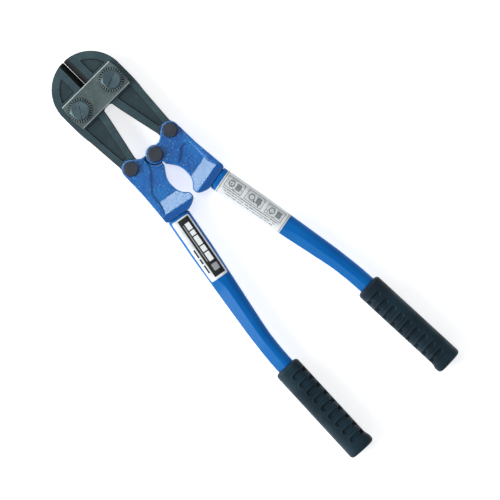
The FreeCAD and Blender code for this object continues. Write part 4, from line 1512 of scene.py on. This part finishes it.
class Palette:
    """Every finish of the tool, built once."""

    def __init__(self) -> None:
        """Build the materials."""
        self.forged = ForgedBladeFinish(
            name="forged_blade", base=ink(62, 87, 94), shade=ink(46, 68, 75), edge=ink(104, 124, 131),
            crevice=ink(5, 10, 13), metallic=0.4, roughness=0.55, x_scale=700.0, y_scale=700.0,
            line_depth_mm=0.03, crevice_mm=1.4, scratched=0.15,
        ).material()
        self.strap = PlateFinish(
            name="strap_plate", base=ink(96, 111, 112), shade=ink(74, 89, 90), edge=ink(170, 182, 182),
            crevice=ink(10, 15, 17), metallic=0.5, roughness=0.46, x_scale=400.0, y_scale=2600.0,
            line_depth_mm=0.02, scratched=0.2,
        ).material()
        self.bolt = SteelFinish(
            name="turned_bolt", base=ink(74, 96, 104), shade=ink(56, 76, 84), edge=ink(168, 184, 190),
            crevice=ink(8, 12, 15), metallic=0.55, roughness=0.4, x_scale=1500.0, y_scale=1500.0,
            line_depth_mm=0.015, edge_radius_mm=0.35, crevice_mm=1.0, scratched=0.1,
        ).material()
        self.ring = ToothedFinish(
            name="toothed_ring", base=ink(112, 126, 128), shade=ink(92, 106, 108), edge=ink(150, 162, 164),
            crevice=ink(6, 9, 11), metallic=0.5, roughness=0.45, x_scale=1500.0, y_scale=1500.0,
            line_depth_mm=0.01, edge_radius_mm=0.1, crevice_mm=0.25,
        ).material()
        self.blacked = SteelFinish(
            name="blacked_bolt", base=ink(62, 68, 78), shade=ink(48, 54, 64), edge=ink(104, 111, 120),
            crevice=ink(10, 12, 16), metallic=0.4, roughness=0.5, x_scale=1200.0, y_scale=1200.0,
            line_depth_mm=0.02, edge_radius_mm=0.3, scratched=0.15,
        ).material()
        self.cast = CastPaintFinish(
            name="cast_paint", base=ink(16, 110, 188), shade=ink(6, 90, 168), edge=ink(136, 194, 240),
            crevice=ink(4, 36, 90), facet=ink(72, 137, 196), end_bevel=ink(10, 90, 168),
            roughness=0.3, facet_roughness=0.22, coat=0.35, grain_mm=0.5,
        ).material()
        self.tube = TubePaintFinish(
            name="tube_paint", base=ink(14, 104, 182), shade=ink(9, 95, 172), rolled=ink(28, 104, 174),
            chip=ink(120, 160, 196), crevice=ink(10, 34, 70), roughness=0.34, coat=0.05,
        ).material()
        self.rubber = RubberFinish(
            name="grip_rubber", base=ink(20, 47, 60), shade=ink(12, 34, 45), dust=ink(96, 118, 130),
            groove=ink(2, 5, 7), roughness=0.62,
        ).material()
        self.panel_film = self.panel_print().material()
        self.silver_film = self.silver_print().material()

    @staticmethod
    def panel_print() -> PrintedFilm:
        """White film with a black panel that carries plain blocks.

        Returns:
            The finish.
        """
        boxes = [PrintedBox(-2.1, 32.5, 5.7, 31.0, BLACK, 0.5)]
        for along, half in ((10.5, 3.6), (17.7, 2.4), (26.1, 4.8), (35.1, 3.0), (43.9, 4.6)):
            boxes.append(PrintedBox(-2.9, along, 2.4, half, WHITE))
        boxes.append(PrintedBox(-2.6, 55.0, 3.0, 3.4, PALE_GREY, 0.8))
        boxes.append(PrintedBox(1.2, 27.5, 0.45, 20.0, PALE_GREY, 0.1))
        for along, half in ((36.0, 4.2), (44.5, 2.6), (53.0, 4.4)):
            boxes.append(PrintedBox(5.9, along, 0.8, half, BLACK, 0.2))
        ground, worn = ink(232, 236, 237), ink(206, 212, 214)
        return PrintedFilm("printed_film", ground, worn, tuple(boxes), roughness=0.32)

    @staticmethod
    def silver_print() -> PrintedFilm:
        """Silver film with a thin border, three framed plain pictures and rows of dashes.

        Returns:
            The finish.
        """
        frame_across, frame_places = 3.2, (13.0, 35.5, 58.0)
        boxes = [
            PrintedBox(0.0, 35.75, 60.0, 34.6, ink(120, 124, 128), 0.1),
            PrintedBox(0.0, 35.75, 60.0, 34.0, ink(222, 226, 227), 0.1),
        ]
        for centre in frame_places:
            boxes += [
                PrintedBox(frame_across, centre, 5.4, 9.4, DARK_GREY, 0.2),
                PrintedBox(frame_across, centre, 5.0, 9.0, ink(212, 217, 218), 0.2),
                PrintedBox(frame_across, centre - 3.4, 3.1, 3.1, ink(96, 102, 108), 3.1),
                PrintedBox(frame_across, centre - 3.4, 2.3, 2.3, ink(200, 205, 206), 2.3),
                PrintedBox(frame_across, centre + 4.0, 3.1, 2.6, ink(128, 134, 138), 0.9),
            ]
        sketches = tuple(
            PrintedBox(frame_across, centre, 4.8, 8.8, DARK_GREY, 0.2) for centre in frame_places
        )
        row_ink = ink(64, 68, 74)
        rows = tuple(
            PrintedBox(-3.8 - 2.1 * row, 35.0, 0.4, 31.0 - 2.0 * row, row_ink, 0.1) for row in range(3)
        )
        ground, worn = ink(208, 212, 213), ink(222, 225, 226)
        return PrintedFilm(
            "silver_film", ground, worn, tuple(boxes), roughness=0.34, dashes=rows, sketches=sketches,
        )


# ------------------------------------------------------------------ studio


@dataclass(frozen=True)
class SoftBox:
    """A rectangular light that is aimed at the middle of the tool. Metres and watts."""

    name: str
    place: tuple[float, float, float]
    width: float
    height: float
    watts: float

    def build(self, target: Vector) -> None:
        """Make the light.

        Args:
            target: The point that it is aimed at, in metres.
        """
        data = bpy.data.lights.new(self.name, "AREA")
        data.shape = "RECTANGLE"
        data.size, data.size_y = self.width, self.height
        data.energy = self.watts
        light = bpy.data.objects.new(self.name, data)
        place = Vector(self.place)
        light.rotation_euler = (target - place).to_track_quat("-Z", "Y").to_euler()
        light.location = place
        bpy.context.scene.collection.objects.link(light)


@dataclass(frozen=True)
class Studio:
    """Pale light table, soft lights and the camera square above the tool."""

    look_x_mm: float = -0.5
    look_y_mm: float = -124.8
    view_mm: float = 465.0
    lens_mm: float = 260.0
    sensor_mm: float = 36.0
    turn_degrees: float = -45.0
    rest_height_mm: float = 15.0
    floor_half: float = 3.0
    floor_glow: float = 0.72
    room_strength: float = 0.46
    soft_boxes: tuple[SoftBox, ...] = (
        SoftBox("key", (-1.29, 0.68, 0.87), 1.6, 1.2, 36.0),
        SoftBox("strip", (0.0, 0.30, 1.47), 0.34, 0.2, 2.2),
        SoftBox("fill", (1.5, -0.7, 0.5), 1.2, 0.5, 1.6),
    )

    def floor(self) -> None:
        """A wide pale floor at the resting plane that glows a little, as a light table does."""
        half = self.floor_half
        corners = [(-half, -half, 0), (half, -half, 0), (half, half, 0), (-half, half, 0)]
        mesh = bpy.data.meshes.new("floor")
        mesh.from_pydata(corners, [], [(0, 1, 2, 3)])
        floor = bpy.data.objects.new("floor", mesh)
        bpy.context.scene.collection.objects.link(floor)
        material, graph, principled = new_material("floor_paper")
        tint = graph.blend(graph.noise(graph.place(), 3.0), (0.86, 0.86, 0.865, 1.0), (0.9, 0.9, 0.9, 1.0))
        graph.feed(principled.inputs["Base Color"], tint)
        graph.feed(principled.inputs["Emission Color"], tint)
        principled.inputs["Emission Strength"].default_value = self.floor_glow
        principled.inputs["Roughness"].default_value = 0.9
        principled.inputs["Specular IOR Level"].default_value = 0.2
        dress(floor, material)

    def lights(self) -> None:
        """One large key from the left of the head, a strip near the zenith, a low fill and the room."""
        for box in self.soft_boxes:
            box.build(Vector((0.0, self.look_y_mm * MM, 0.0)))
        world = bpy.data.worlds.new("studio")
        world.use_nodes = True
        graph = Graph(world.node_tree)
        sky = world.node_tree.nodes["Background"]
        height = graph.split(graph.add("ShaderNodeTexCoord").outputs["Generated"])[2]
        shade = graph.ramp(height, 0.80, 0.96)
        walls, zenith = (0.93, 0.96, 1.0, 1.0), (0.16, 0.17, 0.18, 1.0)
        graph.feed(sky.inputs["Color"], graph.blend(shade, walls, zenith))
        sky.inputs["Strength"].default_value = self.room_strength
        bpy.context.scene.world = world

    def camera(self) -> None:
        """A long lens straight above, turned so that the tool lies corner to corner."""
        data = bpy.data.cameras.new("camera")
        data.lens, data.sensor_width = self.lens_mm, self.sensor_mm
        data.clip_end = 20.0
        camera = bpy.data.objects.new("camera", data)
        distance = (self.view_mm * self.lens_mm / self.sensor_mm + self.rest_height_mm) * MM
        camera.location = (self.look_x_mm * MM, self.look_y_mm * MM, distance)
        camera.rotation_euler = (0.0, 0.0, math.radians(self.turn_degrees))
        bpy.context.scene.collection.objects.link(camera)
        bpy.context.scene.camera = camera
        bpy.context.scene.view_settings.view_transform = "Standard"

    def build(self) -> None:
        """Make the floor, the lights and the camera."""
        self.floor()
        self.lights()
        self.camera()


# ------------------------------------------------------------------ the tool


@dataclass(frozen=True)
class Head:
    """Blades, straps and fasteners: carried-over CAD nodes with finishes, and the lock rings."""

    palette: Palette

    def finish_of(self, node: str) -> bpy.types.Material:
        """The material of a CAD node by its name.

        Args:
            node: The node's name.

        Returns:
            The material.
        """
        if node.endswith("_jaw"):
            return self.palette.forged
        if node.endswith("_strap"):
            return self.palette.strap
        if "_strap_" in node:
            return self.palette.bolt
        return self.palette.blacked

    def build(self) -> None:
        """Dress the nodes and stand the toothed rings under the strap bolts."""
        for name, node in frame["nodes"].items():
            dress(node, self.finish_of(name))
            log.info("dressed %s", name)
        tree = RingTree()
        for side in Side:
            LockRing(side).build(tree, self.palette.ring)


@dataclass(frozen=True)
class Handle:
    """One handle: casting, tube, label and grip."""

    side: Side
    palette: Palette

    def section(self) -> TubeSection:
        """The tube's section, with its rolled flat on the side that faces left."""
        if self.side is Side.LEFT:
            return TubeSection(1, facet_start=38.0, facet_full=84.0, facet_ridge=0.3, facet_tilt=30.0)
        return TubeSection(-1, facet_start=44.0, facet_full=96.0, facet_ridge=1.8, facet_tilt=36.0)

    def label(self, line: HandleLine) -> PrintedLabel:
        """The patch on the left tube or the wrap on the right one.

        Args:
            line: The handle's line.

        Returns:
            The label.
        """
        section = self.section()
        if self.side is Side.LEFT:
            return PrintedLabel(line, section, drop=2.6, length=66.0, half_width=9.4, slot="printed_film")
        return PrintedLabel(line, section, drop=5.0, length=71.5, half_width=None, slot="silver_film")

    def build(self) -> None:
        """Build the handle's pieces from the head down."""
        line = HandleLine(self.side)
        film = self.palette.panel_film if self.side is Side.LEFT else self.palette.silver_film
        CastHead(self.side).build(self.palette.cast)
        HandleTube(line, self.section()).build(self.palette.tube)
        self.label(line).build(film)
        RubberGrip(line).build(self.palette.rubber)


def main() -> None:
    """Build the studio, then the tool from its head to its grips."""
    logging.basicConfig(level=logging.INFO, format="%(message)s")
    Studio().build()
    palette = Palette()
    Head(palette).build()
    for side in Side:
        Handle(side, palette).build()


if __name__ == "__main__":
    main()
